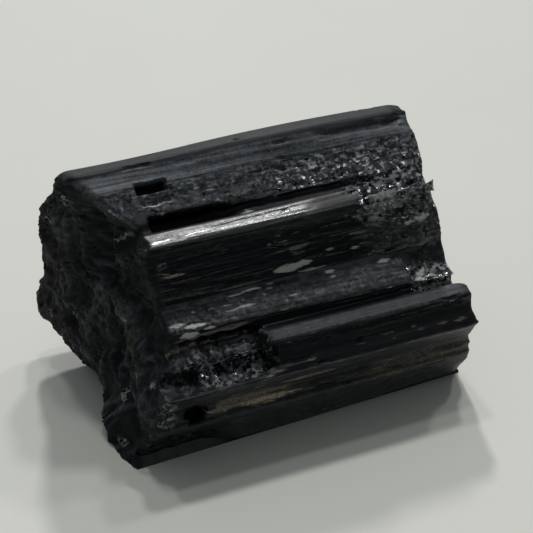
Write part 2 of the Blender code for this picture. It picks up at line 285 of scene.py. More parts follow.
HOLLOWS = (
    # The top of the crystal swells a little towards the middle of its length.
    Hollow(at("back_slope"), at("band_top"), 6.0, 66.0, 32.0, 28.0, -0.5, 0.0, 0.0),
    # A small square socket high on the near end of the granular band.
    Hollow(at("band_top", -0.4), at("band_top", 0.4), 9.9, 14.7, 0.3, 0.9, 1.8, 0.3, 0.2, True),
    # The slot behind the bright rib: sudden at the near end, dying out along the rib.
    Hollow(at("band_middle", 0.35), at("slot", 0.3), 10.4, 27.0, 0.6, 8.0, 1.4, 0.0, 0.2, True),
    Hollow(at("band_middle", 0.5), at("slot", 0.1), 10.8, 24.4, 0.4, 5.0, 1.4, 0.0, 0.2),
    Hollow(at("band_middle", 0.62), at("slot", -0.08), 21.0, 47.5, 2.0, 2.0, 0.55, 0.0, 0.2),
    # The bright rib is broken off short of the far end, and leaves a lip below the break.
    Hollow(at("slot"), at("valley"), 42.4, 57.0, 0.8, 1.0, 1.2, 0.4, 0.2),
    Hollow(at("bright_rib_under"), at("grey_rib"), 43.4, 54.0, 1.5, 3.0, -0.6),
    Hollow(
        at("bright_rib_under", 0.35), at("bright_rib_under", 0.8), 46.8, 50.2, 0.3, 0.4, 1.1, 0.2
    ),
    # A scoop broken out of the far end of the grey rib.
    Hollow(at("grey_rib"), at("shelf_rib"), 47.6, 57.0, 1.6, 2.0, 1.6, 0.5, 0.5),
    # The shelf rib starts only where this broken-out place ends, with a dark hole in it.
    Hollow(at("shelf_groove", -0.5), at("nose"), 5.0, 22.8, 2.0, 1.6, 2.5, 0.8, 0.5),
    Hollow(at("shelf_edge", -0.1), at("shelf_edge", 0.9), 20.6, 23.4, 0.5, 0.4, 1.0, 0.3),
    # A dark hollow in the low ribs beside the near break.
    Hollow(at("nose_under"), at("low_rib"), 9.0, 12.6, 0.8, 1.2, 2.0, 0.5, 1.0, True),
    # The ledge of the foot: the low rib above it is broken back at the near end.
    Hollow(at("low_rib", 0.3), at("low_rib_under", 0.45), 1.0, 18.0, 1.0, 9.0, 1.1, 0.3),
    Hollow(at("low_rib_under", 0.1), at("foot_front", 0.5), -2.0, 18.0, 1.0, 7.0, 1.5, 0.2, 0.3),
    # The groove of the top towards the far end, and a chip off the far corner.
    Hollow(at("top_crest", 0.6), at("top_groove", 0.4), 38.0, 53.5, 4.0, 1.0, 0.5, 0.0, 0.2),
    Hollow(at("top_back", 0.7), at("top_crest", 0.6), 53.2, 55.4, 0.4, 0.3, 0.7, 0.3),
    Hollow(at("top_back"), at("band_top"), 52.8, 57.0, 1.0, 1.0, 0.3),
    # Breaks on the back and underneath.
    Hollow(at("back_groove"), at("back_rib_top"), 22.0, 39.0, 4.0, 9.0, 0.8, 0.4, 1.0),
    Hollow(at("back_low"), at("back_nose"), 29.0, 48.0, 3.0, 9.0, 1.3, 0.4, 1.0),
    Hollow(at("back_slope"), at("top_back"), 38.0, 49.0, 2.0, 5.0, 0.7, 0.4, 1.0),
    Hollow(at("foot_inside"), at("heel_inside"), 18.0, 33.0, 2.0, 2.0, -0.6),
)

COATINGS = (
    # The grey bloom, partly painted sheen: on the top, on the faces that look up, and thinly on the
    # lowest ribs.
    Coating(at("back_slope"), at("top_groove", -0.3), *WHOLE, Coat.DUST_AND_SHEEN, 0.42),
    Coating(at("top_crest", 0.2), at("band_top", 0.6), *WHOLE, Coat.DUST_AND_SHEEN, 1.0),
    Coating(at("band_top", -0.2), at("slot", -0.1), *WHOLE, Coat.DUST_AND_SHEEN, 0.78),
    # This coat and the scoop's coat two lines down also lighten the far breaks with painted
    # glitter.
    Coating(at("slot"), at("valley", 0.4), 41.0, 60.0, 2.0, 1.0, Coat.DUST_AND_SHEEN, 0.95),
    Coating(at("grey_rib", 0.05), at("grey_rib_under", 0.15), 12.0, 60.0, 8.0, 1.0, Coat.DUST_AND_SHEEN, 0.5),
    Coating(at("grey_rib", 0.2), at("shelf_groove", 0.2), 48.0, 60.0, 0.8, 1.0, Coat.DUST_AND_SHEEN, 0.8),
    Coating(at("shelf_rib", -0.1), at("shelf_edge", 0.15), 22.0, 60.0, 1.0, 1.0, Coat.DUST_AND_SHEEN, 0.52),
    Coating(at("nose_top", 0.3), at("low_slit", 0.2), 8.0, 60.0, 6.0, 1.0, Coat.DUST_AND_SHEEN, 0.52),
    Coating(at("low_slit", 0.3), at("foot_front", 0.6), 12.0, 60.0, 6.0, 1.0, Coat.DUST_AND_SHEEN, 0.55),
    Coating(at("nose_top", 0.6), at("foot_front", -0.3), -2.0, 24.0, 1.0, 4.0, Coat.DUST_AND_SHEEN, 0.25),
    Coating(at("heel_back"), at("back_slope"), -6.0, 60.0, 1.0, 1.0, Coat.DUST_AND_SHEEN, 0.36),
    Coating(
        at("bright_rib", 0.6), at("bright_rib_under", 0.35), 21.0, 44.0, 4.0, 3.0,
        Coat.DUST_AND_SHEEN, 0.5, 0.9
    ),
    Coating(at("bright_rib_under", 0.5), at("grey_rib"), 42.0, 60.0, 3.0, 1.0, Coat.DUST_AND_SHEEN, 0.4, 0.9),
    # Weathered places.
    Coating(at("bright_rib_front", 0.2), at("valley", -0.6), *WHOLE, Coat.MATT, 0.8),
    Coating(at("grey_rib_under", 0.6), at("nose", 0.3), -2.0, 24.0, 1.0, 1.0, Coat.MATT, 1.0),
    Coating(at("shelf_edge", 0.3), at("nose", 0.3), -2.0, 60.0, 1.0, 1.0, Coat.MATT, 0.95),
    Coating(at("back_slope"), at("slot", -0.3), *WHOLE, Coat.MATT, 0.85, 0.2),
    Coating(at("back_slope", 0.6), at("top_groove", -0.3), *WHOLE, Coat.MATT, 1.0, 0.2),
    Coating(at("heel_back"), at("back_slope"), -6.0, 60.0, 1.0, 1.0, Coat.MATT, 0.6, 0.4),
    Coating(at("band_middle"), at("foot_front"), -4.0, 11.5, 1.0, 3.0, Coat.MATT, 0.85),
    Coating(at("grey_rib", -0.1), at("grey_rib_under", 0.2), 4.0, 60.0, 1.0, 1.0, Coat.MATT, 0.75),
    Coating(at("shelf_groove", 0.5), at("shelf_edge", 0.3), 22.0, 60.0, 1.0, 1.0, Coat.MATT, 0.85),
    Coating(at("nose_top", 0.3), at("foot_front", 0.5), 4.0, 60.0, 1.0, 1.0, Coat.MATT, 0.7),
    Coating(at("band_middle", 0.5), at("bright_rib_crest", 0.25), *WHOLE, Coat.MATT, 1.0, 0.1),
    Coating(at("slot"), at("bright_rib_under", 0.3), 30.0, 60.0, 9.0, 1.0, Coat.MATT, 0.8, 0.3),
    Coating(at("bright_rib_under", 0.2), at("grey_rib"), 40.0, 60.0, 6.0, 1.0, Coat.MATT, 0.6, 0.3),
    # The sugary band below the top: thin at the near end, strongest towards the far end.
    Coating(at("band_top", -0.3), at("slot", -0.4), 2.0, 58.0, 3.0, 1.0, Coat.GRIT, 0.34),
    Coating(at("band_top", -0.2), at("slot", -0.2), 20.0, 58.0, 14.0, 1.0, Coat.GRIT, 0.62),
    Coating(at("band_top", 0.3), at("bright_rib"), 38.0, 58.0, 6.0, 1.0, Coat.GRIT, 0.7),
    Coating(at("grey_rib"), at("grey_rib_under", 0.2), 4.0, 60.0, 1.0, 1.0, Coat.GRIT, 0.2, 0.9),
    Coating(at("heel_back"), at("back_shoulder"), -6.0, 60.0, 1.0, 1.0, Coat.GRIT, 0.22, 0.9),
    Coating(
        at("shelf_groove", 0.6), at("shelf_edge", 0.2), 20.0, 60.0, 1.0, 1.0, Coat.GRIT, 0.14, 0.9
    ),
    Coating(
        at("bright_rib_front", 0.2), at("valley", -0.4), 8.0, 44.0, 6.0, 4.0, Coat.GRIT, 0.16, 0.9
    ),
    Coating(
        at("bright_rib_under", 0.5), at("grey_rib", 0.2), 42.0, 60.0, 3.0, 1.0, Coat.GRIT, 0.3, 0.9
    ),
    Coating(at("nose_under"), at("foot_front", -0.2), 8.0, 60.0, 3.0, 1.0, Coat.GRIT, 0.12, 0.9),
    # Around the break of the bright rib, in the scoop, and in the broken-out places.
    Coating(at("slot", -0.3), at("valley", 0.5), 41.5, 58.0, 1.5, 1.0, Coat.GRIT, 1.0),
    Coating(at("grey_rib", 0.1), at("shelf_groove", 0.4), 47.8, 58.0, 0.8, 1.0, Coat.GRIT, 1.0),
    Coating(at("shelf_rib", 0.1), at("nose", 0.2), 10.0, 24.0, 4.0, 2.0, Coat.GRIT, 0.55, 0.9),
    Coating(
        at("shelf_groove", -0.2), at("shelf_rib", 0.4), 6.0, 24.0, 2.0, 2.0, Coat.GRIT, 0.34, 0.9
    ),
    Coating(at("shelf_rib", 0.1), at("nose", 0.2), 4.0, 16.0, 2.0, 4.0, Coat.GRIT, 0.3, 0.9),
    Coating(at("nose_top", 0.4), at("low_rib", 0.6), 3.0, 9.5, 3.0, 3.0, Coat.GRIT, 0.5, 0.9),
    Coating(at("low_rib", 0.3), at("low_rib_under", 0.2), 0.0, 12.0, 1.0, 6.0, Coat.GRIT, 0.3),
    Coating(at("foot_inside"), at("heel_inside"), 3.0, 52.0, 4.0, 4.0, Coat.GRIT, 0.6),
    # Clay: a stripe along the low ribs, a tint towards the far end, lines in the grooves.
    Coating(at("nose_under", 0.2), at("low_slit", 0.4), 11.0, 30.0, 4.0, 9.0, Coat.CLAY, 0.6),
    Coating(at("nose_under"), at("low_rib", 0.9), 34.0, 58.0, 8.0, 1.0, Coat.CLAY, 0.42),
    Coating(at("heel_back", 0.2), at("back_bulge"), 8.0, 30.0, 4.0, 8.0, Coat.CLAY, 0.4, 0.9),
    Coating(at("back_fold", 0.5), at("back_groove", 0.5), 3.0, 48.0, 6.0, 6.0, Coat.CLAY, 0.4, 0.9),
)


@dataclass(frozen=True)
class Blotch:
    """A leaf-shaped mark on the sides, long along the crystal: a pale cleavage scale, a scar, a
    stain or a painted glint.
    """

    place: float  # round the cross-section, like 2.5 for halfway from edge 2 to edge 3
    half_height: float  # in the same measure
    middle: float
    half_length: float
    coat: Coat
    amount: float = 1.0

    def share(self, place: float, x: float, wobble: float) -> float:
        """Works out the blotch's share, with an outline that wobbles.

        Args:
            place: place round the cross-section.
            x: place along the crystal.
            wobble: how far the outline wobbles out there, from -1 to 1.

        Returns:
            How much of it there is, from 0 to its amount.
        """
        up = abs(place - self.place) / self.half_height
        along = (x - self.middle) / self.half_length
        inside = 1.0 - along * along - up + BLOTCH_WOBBLE * wobble
        return self.amount * smooth(BLOTCH_STEEPNESS * inside)


BLOTCHES = (
    # The long pale flake under the valley, and small pale marks on the ribs near it: flakes, and
    # painted glints where the ribs caught the light.
    Blotch(at("valley", 0.66), 0.17, 29.6, 3.1, Coat.FLAKE_AND_GLINT),
    Blotch(at("valley", 0.6), 0.13, 32.0, 1.9, Coat.FLAKE_AND_GLINT),
    Blotch(at("valley", 0.88), 0.05, 33.2, 2.6, Coat.FLAKE_AND_GLINT, 0.8),
    Blotch(at("slot", 0.2), 0.4, 25.2, 1.3, Coat.FLAKE_AND_GLINT, 0.9),
    Blotch(at("grey_rib", 0.09), 0.05, 23.2, 1.9, Coat.FLAKE_AND_GLINT),
    Blotch(at("grey_rib", 0.14), 0.04, 20.6, 2.2, Coat.FLAKE_AND_GLINT, 0.7),
    Blotch(at("grey_rib", 0.57), 0.06, 21.6, 1.8, Coat.FLAKE_AND_GLINT),
    Blotch(at("grey_rib", 0.62), 0.04, 19.4, 1.4, Coat.FLAKE_AND_GLINT, 0.7),
    Blotch(at("grey_rib", 0.1), 0.08, 35.9, 1.0, Coat.FLAKE_AND_GLINT),
    Blotch(at("grey_rib", 0.28), 0.05, 36.0, 0.7, Coat.FLAKE_AND_GLINT, 0.8),
    Blotch(at("grey_rib", 0.16), 0.08, 44.7, 1.3, Coat.FLAKE_AND_GLINT),
    Blotch(at("valley", 0.36), 0.06, 36.5, 0.9, Coat.FLAKE_AND_GLINT, 0.8),
    Blotch(at("valley", 0.5), 0.07, 40.7, 0.8, Coat.FLAKE_AND_GLINT, 0.8),
    Blotch(at("grey_rib", 0.86), 0.11, 13.4, 2.0, Coat.FLAKE_AND_GLINT),
    Blotch(at("grey_rib", 0.72), 0.08, 10.8, 1.6, Coat.FLAKE_AND_GLINT),
    Blotch(at("grey_rib_under", 0.3), 0.24, 12.2, 1.9, Coat.FLAKE_AND_GLINT),
    Blotch(at("grey_rib_under", 0.1), 0.14, 15.4, 1.2, Coat.FLAKE_AND_GLINT, 0.8),
    # Bruised places round the broken ends of the ribs, with their glitter painted in the pale flake
    # colour.
    Blotch(at("bright_rib_front", 0.6), 1.3, 46.2, 3.6, Coat.FLAKE_AND_GLINT, 1.0),
    Blotch(at("bright_rib_under", 0.2), 0.34, 47.8, 2.8, Coat.FLAKE_AND_GLINT, 1.0),
    Blotch(at("bright_rib_under", 0.58), 0.1, 44.6, 1.2, Coat.FLAKE_AND_GLINT, 0.9),
    Blotch(at("bright_rib_under", 0.95), 0.2, 52.2, 1.8, Coat.FLAKE_AND_GLINT, 0.8),
    Blotch(at("valley", 0.05), 0.1, 49.8, 1.2, Coat.FLAKE_AND_GLINT, 0.8),
    Blotch(at("grey_rib", 0.75), 0.4, 51.2, 2.2, Coat.FLAKE_AND_GLINT, 0.95),
    Blotch(at("grey_rib_under", 0.1), 0.3, 52.8, 1.6, Coat.FLAKE_AND_GLINT, 0.9),
    Blotch(at("shelf_edge", 0.5), 0.5, 19.6, 1.6, Coat.GRIT),
    Blotch(at("shelf_edge", 0.75), 0.4, 13.0, 1.3, Coat.GRIT),
    # Sugary places in the breaks of the back.
    Blotch(at("back_rib", 0.1), 0.7, 29.0, 8.0, Coat.GRIT, 0.55),
    Blotch(at("back_bulge", 0.1), 0.8, 37.0, 9.0, Coat.GRIT, 0.55),
    Blotch(at("back_shoulder", 0.1), 0.7, 43.0, 6.0, Coat.GRIT, 0.5),
    Blotch(at("back_rib_top", 0.2), 0.3, 12.0, 8.0, Coat.GRIT, 0.4),
    # Clay: thin lines in the grooves, and stains on the low ribs.
    Blotch(at("shelf_groove"), 0.08, 9.6, 2.6, Coat.CLAY, 0.8),
    Blotch(at("valley", 0.03), 0.07, 12.2, 2.2, Coat.CLAY),
    Blotch(at("low_line", 0.7), 1.1, 21.4, 6.4, Coat.CLAY),
    Blotch(at("low_slit", -0.3), 0.8, 14.2, 3.0, Coat.CLAY, 0.8),
    Blotch(at("nose_under", 0.2), 0.5, 28.0, 5.6, Coat.CLAY, 0.7),
    Blotch(at("low_slit", 0.1), 0.25, 46.0, 2.0, Coat.CLAY, 0.6),
)


@dataclass
class ScarSet:
    """Many small scars of one kind, scattered over a stretch of the sides."""

    side: float
    other_side: float
    count: int
    coat: Coat
    amount: float
    half_height: tuple[float, float]
    half_length: tuple[float, float]
    near: float = 9.0
    far: float = 54.0
    faintest: float = 0.4  # as a share of the amount

    def blotches(self, dice: random.Random) -> list[Blotch]:
        """Makes the scars.

        Args:
            dice: the random numbers, which are drawn in a fixed order.

        Returns:
            The scars, in places that are always the same.
        """
        return [
            Blotch(
                dice.uniform(self.side, self.other_side),
                dice.uniform(*self.half_height),
                dice.uniform(self.near, self.far),
                dice.uniform(*self.half_length),
                self.coat,
                self.amount * dice.uniform(self.faintest, 1.0),
            )
            for _ in range(self.count)
        ]


# The pale chip scars are painted glints on the ribs and on the band.
SCARS = (
    ScarSet(at("bright_rib_under"), at("grey_rib"), 46, Coat.DUST_AND_SHEEN, 0.5, (0.02, 0.05), (0.8, 2.6)),
    ScarSet(
        at("bright_rib_under"), at("grey_rib_under"), 26, Coat.FLAKE_AND_GLINT, 0.35, (0.02, 0.04), (0.2, 0.7)
    ),
    ScarSet(at("nose_top"), at("low_rib"), 60, Coat.CLAY, 0.7, (0.06, 0.16), (0.3, 1.6)),
    ScarSet(
        at("low_groove"), at("low_rib_under"), 40,
        Coat.CLAY, 0.7, (0.08, 0.2), (0.4, 2.0), 34.0, 55.0
    ),
    ScarSet(
        at("grey_rib"), at("grey_rib_under"), 16,
        Coat.FLAKE_AND_GLINT, 0.9, (0.03, 0.06), (0.3, 1.0), 13.0, 34.0
    ),
    ScarSet(
        at("band_top"), at("slot", -0.3), 36, Coat.FLAKE_AND_GLINT, 1.0, (0.05, 0.08), (0.3, 0.45), 9.0, 40.0
    ),
    ScarSet(
        at("shelf_rib"), at("shelf_edge", 0.5), 14,
        Coat.FLAKE_AND_GLINT, 0.5, (0.03, 0.06), (0.1, 0.3), 23.0, 50.0
    ),
    ScarSet(
        at("band_top"), at("band_middle", 0.4), 30, Coat.CLAY, 0.4, (0.02, 0.05), (0.15, 0.4), 20.0
    ),
)


@dataclass(frozen=True)
class Crease:
    """A straight cleft (depth above 0) or ridge (below 0) on the near break."""

    start: tuple[float, float]
    end: tuple[float, float]
    depth: float
    width: float

    def at(self, y: float, z: float) -> float:
        """Works out the crease's depth.

        Args:
            y: place on the break.
            z: place on the break.

        Returns:
            Its depth there, 0 beside it.
        """
        start, end, here = Vector(self.start), Vector(self.end), Vector((y, z))
        run = end - start
        share = min(1.0, max(0.0, (here - start).dot(run) / run.length_squared))
        away = (here - start - run * share).length
        return self.depth * smooth(1.0 - away / self.width)


SLAB = Crease((14.5, 31.5), (12.6, 15.0), -0.9, 2.2)
PALE_RIDGE = Crease((4.2, 20.0), (-12.0, 7.2), -1.1, 1.7)
CREASES = (
    Crease((10.2, 31.0), (6.4, 21.5), 2.6, 1.9),  # the dark cleft
    SLAB,  # beside the cleft
    PALE_RIDGE,  # runs down to the foot
    Crease((1.5, 12.8), (-9.5, 4.6), 1.0, 1.5),  # the gully under the ridge
    Crease((12.0, 11.5), (6.0, 5.5), 1.1, 1.6),  # a second gully, towards the heel
)


@dataclass(frozen=True)
class Stria:
    """One size of the fine grooves that run along the crystal."""

    width: float
    depth: float
    length: float
    seed: float
    sharpness: float = 3.0  # how much narrower a groove is than the rise between two

    def groove(self, around: float, x: float) -> float:
        """Depth of this size's grooves here: thin lines where the noise crosses zero."""
        value = noise.noise(Vector((around / self.width, x / self.length, self.seed)))
        return self.depth * (1.0 - min(1.0, self.sharpness * abs(value)))


@dataclass(frozen=True)
class Column:
    """One lengthwise line of the skin."""

    around: float  # mm round the cross-section
    place: float  # 2.5 is halfway from edge 2 to edge 3
    edge: Edge  # with values worked out for this line
    out: Vector  # outward, in the cross-section
    rounding: float  # how far the rounding of a corner takes it in
    flat: bool  # on a face that the crystal stands on
    hollows: tuple[Hollow, ...]
    coatings: tuple[Coating, ...]
    blotches: tuple[Blotch, ...]


@dataclass
class RibbedSides:
    """The long sides of the crystal: ribs, grooves, striations and broken places."""

    # The skin's grid.
    front_spacing: float = 0.135  # mm between columns where the ribs are
    back_spacing: float = 0.42
    least_columns: int = 2  # on a face
    ring_spacing: float = 0.42
    near_zone: float = 17.0  # rings follow the slanted near end up to here
    far_zone: float = 50.0  # rings follow the far end from here
    sewing: float = 0.002  # the grid's two long edges are joined where they meet this closely
    # Slow changes along the ribs.
    wander: float = 0.22  # how far a rib drifts in or out
    wander_width: float = 5.0
    drift_length: float = 18.0
    rill_depth: float = 0.07
    rill_width: float = 1.3
    terrace_depth: float = 0.02
    terrace_width: float = 1.3
    terrace_length: float = 25.0
    terraces: float = 2.5  # levels above the middle one, and as many below
    striae: tuple[Stria, ...] = (
        Stria(1.5, 0.04, 34.0, 0.3),
        Stria(0.7, 0.022, 20.0, 5.1),
        Stria(0.36, 0.012, 11.0, 9.7),
    )
    # The corners between faces.
    corner_reach: float = 0.5  # how far from a corner its rounding starts
    normal_reach: float = 1.0
    # The rims of the two ends.
    rim_chipping: float = 0.45
    rim_grain: float = 2.6  # width of the bays in a rim
    rim_chip_grain: float = 0.8
    rim_chip_share: float = 0.2  # how deep the chips are beside the bays
    wear: float = 0.6  # how much the far rim loses when it is rounded off afterwards
    rim_reach: float = 1.6
    rim_rounding: float = 0.6
    rim_grit: float = 1.6  # how far in from an end the broken surface reaches
    rim_grit_start: float = 1.3
    rim_gritty: float = 0.12  # how sugary a rim is
    rim_matt: float = 0.8
    rim_calm: float = 2.2  # how far in from an end the grains reach their full height
    # The broken places.
    pit_grain: float = 1.7  # width of the lumps on a hollow's floor
    torn_sideways: float = 1.2  # width and length of the bays in a hollow's torn ends
    torn_lengthwise: float = 3.0
    torn_reach: float = 2.0  # how far a fully ragged end strays along x
    grit_depth: float = 0.22
    grit_size: float = 1.0
    grit_rise: float = 0.5
    least_grit: float = 0.02
    # The outlines of the coats.
    blot_length: float = 1.6
    blot_width: float = 0.7
    leaf_length: float = 0.7
    leaf_width: float = 0.22
    coat_gain: float = 1.5
    coat_loss: float = 0.2
    # The small chips.
    chips: int = 90
    chip_seed: int = 11
    chip_width: tuple[float, float] = (0.15, 0.6)  # as a share of a face
    chip_near: tuple[float, float] = (6.0, 52.0)
    chip_length: tuple[float, float] = (0.8, 5.0)
    chip_depth: tuple[float, float] = (0.08, 0.3)
    chip_wall: float = 0.3
    chip_roughness: float = 0.15
    chip_ragged: float = 0.3
    hollows: list[Hollow] = field(default_factory=lambda: list(HOLLOWS))
    blotches: list[Blotch] = field(default_factory=lambda: list(BLOTCHES))

    def add_chips(self) -> None:
        """Adds small chips and missing slivers all round, always the same ones."""
        dice = random.Random(self.chip_seed)
        for _ in range(self.chips):
            side = dice.uniform(0.0, len(EDGES))
            width = dice.uniform(*self.chip_width)
            near = dice.uniform(*self.chip_near)
            far = near + dice.uniform(*self.chip_length)
            depth = dice.uniform(*self.chip_depth)
            run = (near, far, self.chip_wall, self.chip_wall)
            self.hollows.append(
                Hollow(side, side + width, *run, depth, self.chip_roughness, self.chip_ragged)
            )
        for scars in SCARS:
            self.blotches.extend(scars.blotches(dice))

    def columns(self) -> list[Column]:
        """Works out all the columns.

        Returns:
            The columns, in order round the cross-section.
        """
        made: list[Column] = []
        around = 0.0
        for index in range(len(EDGES)):
            before, start, end, after = (EDGES[(index + i) % len(EDGES)] for i in (-1, 0, 1, 2))
            face = Vector((end.y - start.y, end.z - start.z))
            outs = [self.outward(a, b) for a, b in ((before, start), (start, end), (end, after))]
            front = index < FIRST_BACK or index >= LAST_BACK
            spacing = self.front_spacing if front else self.back_spacing
            count = max(self.least_columns, round(face.length / spacing))
            for step in range(count):
                share = step / count
                made.append(self.column(index, share, face, outs, around + face.length * share))
            around += face.length
        return made

    @staticmethod
    def outward(start: Edge, end: Edge) -> Vector:
        """Outward direction of the face between two edges."""
        return Vector((end.z - start.z, start.y - end.y)).normalized()

    def column(
        self, index: int, share: float, face: Vector, outs: list[Vector], around: float
    ) -> Column:
        """Works out one column.

        Args:
            index: number of the edge before it.
            share: how far it is from that edge to the next.
            face: from that edge to the next.
            outs: outward directions of the face before, its own face and the face after.
            around: distance round the cross-section.

        Returns:
            The column, with the patches that it crosses.
        """
        start, end = EDGES[index], EDGES[(index + 1) % len(EDGES)]
        names = ("y", "z", "near", "far", "drift_y", "drift_z")
        values = [getattr(start, n) + (getattr(end, n) - getattr(start, n)) * share for n in names]
        from_start, from_end = face.length * share, face.length * (1.0 - share)
        reach = min(self.normal_reach, face.length / 2)
        weights = [0.5 * max(0.0, 1.0 - d / reach) for d in (from_start, from_end)]
        out = outs[1] * (1.0 - sum(weights)) + outs[0] * weights[0] + outs[2] * weights[1]
        rounding = sum(
            self.corner(outs[i], outs[i + 1], distance, min(self.corner_reach, face.length / 2))
            for i, distance in ((0, from_start), (1, from_end))
        )
        place = index + share
        return Column(
            around,
            place,
            Edge("", *values),
            out.normalized(),
            rounding,
            start.z == 0.0 and (share == 0.0 or end.z == 0.0),
            tuple(hollow for hollow in self.hollows if hollow.near_to(place)),
            tuple(coating for coating in COATINGS if coating.near_to(place)),
            tuple(b for b in self.blotches if abs(place - b.place) < BLOTCH_REACH * b.half_height),
        )

    @staticmethod
    def corner(out: Vector, next_out: Vector, distance: float, reach: float) -> float:
        """Works out the rounding of a corner.

        Args:
            out: outward direction of the face before the corner.
            next_out: outward direction of the face after it.
            distance: how far away from the corner.
            reach: how far away the rounding starts.

        Returns:
            How far in the rounded corner is there. Negative in a groove.
        """
        turn = out.y * next_out.x - out.x * next_out.y
        half = math.tan(math.asin(max(-SHARPEST_TURN, min(SHARPEST_TURN, turn))) / 2)
        return -half * max(0.0, reach - distance) ** 2 / (2.0 * reach)

    def rings(self) -> list[float]:
        """x of the rings, before they bend to follow the two ends."""
        count = round(LENGTH / self.ring_spacing)
        return [LENGTH * i / count for i in range(count + 1)]

    def bent(self, x: float, edge: Edge) -> float:
        """Bends a ring to follow the two ends.

        Args:
            x: the ring's place before it bends.
            edge: the column's values.

        Returns:
            x of the ring on that column.
        """
        bays = lumps(RIM_SLICE, edge.y, edge.z, self.rim_grain)
        chips = lumps(RIM_CHIP_SLICE, edge.y, edge.z, self.rim_chip_grain)
        rim = self.rim_chipping * (bays + self.rim_chip_share * chips)
        near = (edge.near + rim) * max(0.0, 1.0 - x / self.near_zone)
        past_zone = max(0.0, (x - self.far_zone) / (LENGTH - self.far_zone))
        return x + near + (edge.far + self.wear + rim - LENGTH) * past_zone

    def coats(self, ring: float, x: float, column: Column) -> dict[Coat, float]:
        """Works out the coats at a point of the skin.

        Args:
            ring: the ring's place before it bends.
            x: the ring's place on this column.
            column: the column.

        Returns:
            How much of each coat there is, from 0 to 1.
        """
        found = dict.fromkeys(Coat, 0.0)
        y, z = column.edge.y / self.blot_width, column.edge.z / self.blot_width
        blot = noise.noise(Vector((x / self.blot_length, y, z)))
        leaf = (x / self.leaf_length, column.around / self.leaf_width, LEAF_SLICE)
        torn = noise.noise(Vector(leaf))
        for coating in column.coatings:
            share = coating.across(column.place + self.stray(x, coating))
            if share <= 0.0:
                continue
            amount = share * coating.along(x + coating.ragged * self.torn_reach * blot)
            if coating.ragged:
                amount = smooth(amount * self.coat_gain + coating.ragged * blot - self.coat_loss)
            found[coating.coat] = max(found[coating.coat], amount * coating.amount)
        for blotch in column.blotches:
            if abs(x - blotch.middle) < BLOTCH_REACH * blotch.half_length:
                share = blotch.share(column.place, x, torn)
                found[blotch.coat] = max(found[blotch.coat], share)
        # Painted shade: the coats are taken away inside the marked hollows, so they look black.
        painted_shade_share = self.painted_shade_share(x, column)
        for coat in (Coat.DUST_AND_SHEEN, Coat.GRIT, Coat.FLAKE_AND_GLINT, Coat.CLAY):
            found[coat] *= 1.0 - painted_shade_share
        found[Coat.MATT] = max(found[Coat.MATT], painted_shade_share)
        rim = smooth(self.rim_grit_start - min(ring, LENGTH - ring) / self.rim_grit + blot)
        found[Coat.GRIT] = max(found[Coat.GRIT], self.rim_gritty * rim)
        found[Coat.MATT] = max(found[Coat.MATT], self.rim_matt * rim)
        return found

    def painted_shade_share(self, x: float, column: Column) -> float:
        """How far inside a hollow with painted shade a point of the skin is, from 0 to 1."""
        shares = [
            hollow.across(column.place + self.stray(x, hollow)) * hollow.along(x)
            for hollow in column.hollows
            if hollow.clean
        ]
        return max(shares, default=0.0)

    @staticmethod
    def stray(x: float, patch: Hollow | Coating) -> float:
        """How far a patch strays from its straight sides at x."""
        spot = Vector((x / STRAY_LENGTH, patch.near, patch.side))
        return PATCH_STRAY * patch.ragged * noise.noise(spot)

    def relief(self, x: float, column: Column, grit: float) -> float:
        """Works out the skin's relief.

        Args:
            x: place along the crystal.
            column: the column.
            grit: how sugary the skin is there.

        Returns:
            How far the skin stands out from the straight prism, in mm.
        """
        y, z = column.edge.y, column.edge.z
        wide = Vector((x / self.drift_length, y / self.wander_width, z / self.wander_width))
        height = self.wander * noise.noise(wide) - column.rounding
        rill = (column.around / self.rill_width, x / self.drift_length, RILL_SLICE)
        height += self.rill_depth * noise.noise(Vector(rill))
        height -= sum(stria.groove(column.around, x) for stria in self.striae)
        terrace = (column.around / self.terrace_width, x / self.terrace_length, TERRACE_SLICE)
        height -= self.terrace_depth * round(self.terraces * noise.noise(Vector(terrace)))
        for hollow in column.hollows:
            share = hollow.across(column.place + self.stray(x, hollow))
            if share <= 0.0:
                continue
            bay = (y / self.torn_sideways, z / self.torn_sideways, x / self.torn_lengthwise)
            ragged = self.torn_reach * hollow.ragged * noise.noise(Vector(bay))
            amount = share * hollow.along(x + ragged)
            if amount > 0.0:
                floor = hollow.roughness * lumps(x, y, z, self.pit_grain)
                height -= amount * (hollow.depth + floor)
        if grit > self.least_grit:
            calm = smooth(min(x - column.edge.near, column.edge.far - x) / self.rim_calm)
            grains = self.grit_rise + grain_faces(Vector((x, y, z)), self.grit_size)
            height -= grit * calm * (self.grit_depth * grains)
        return height

    def point(self, ring: float, column: Column) -> tuple[Vector, dict[Coat, float]]:
        """Works out a point of the skin.

        Args:
            ring: the ring's place before it bends.
            column: the column.

        Returns:
            The point, in mm, and its coats.
        """
        edge = column.edge
        x = self.bent(ring, edge)
        y = edge.y + edge.drift_y * x / LENGTH
        z = edge.z + edge.drift_z * x / LENGTH
        coats = self.coats(ring, x, column)
        if column.flat:
            lift = HEEL_LIFT * (1.0 - smooth(x / HEEL_DOWN)) if y > 0.0 else 0.0
            return Vector((x, y, lift)), coats
        rim = max(0.0, 1.0 - min(ring, LENGTH - ring) / self.rim_reach)
        relief = self.relief(x, column, coats[Coat.GRIT])
        out = column.out * (relief - self.rim_rounding * rim * rim)
        return Vector((x, y + out.x, max(FLOOR_GAP, z + out.y))), coats

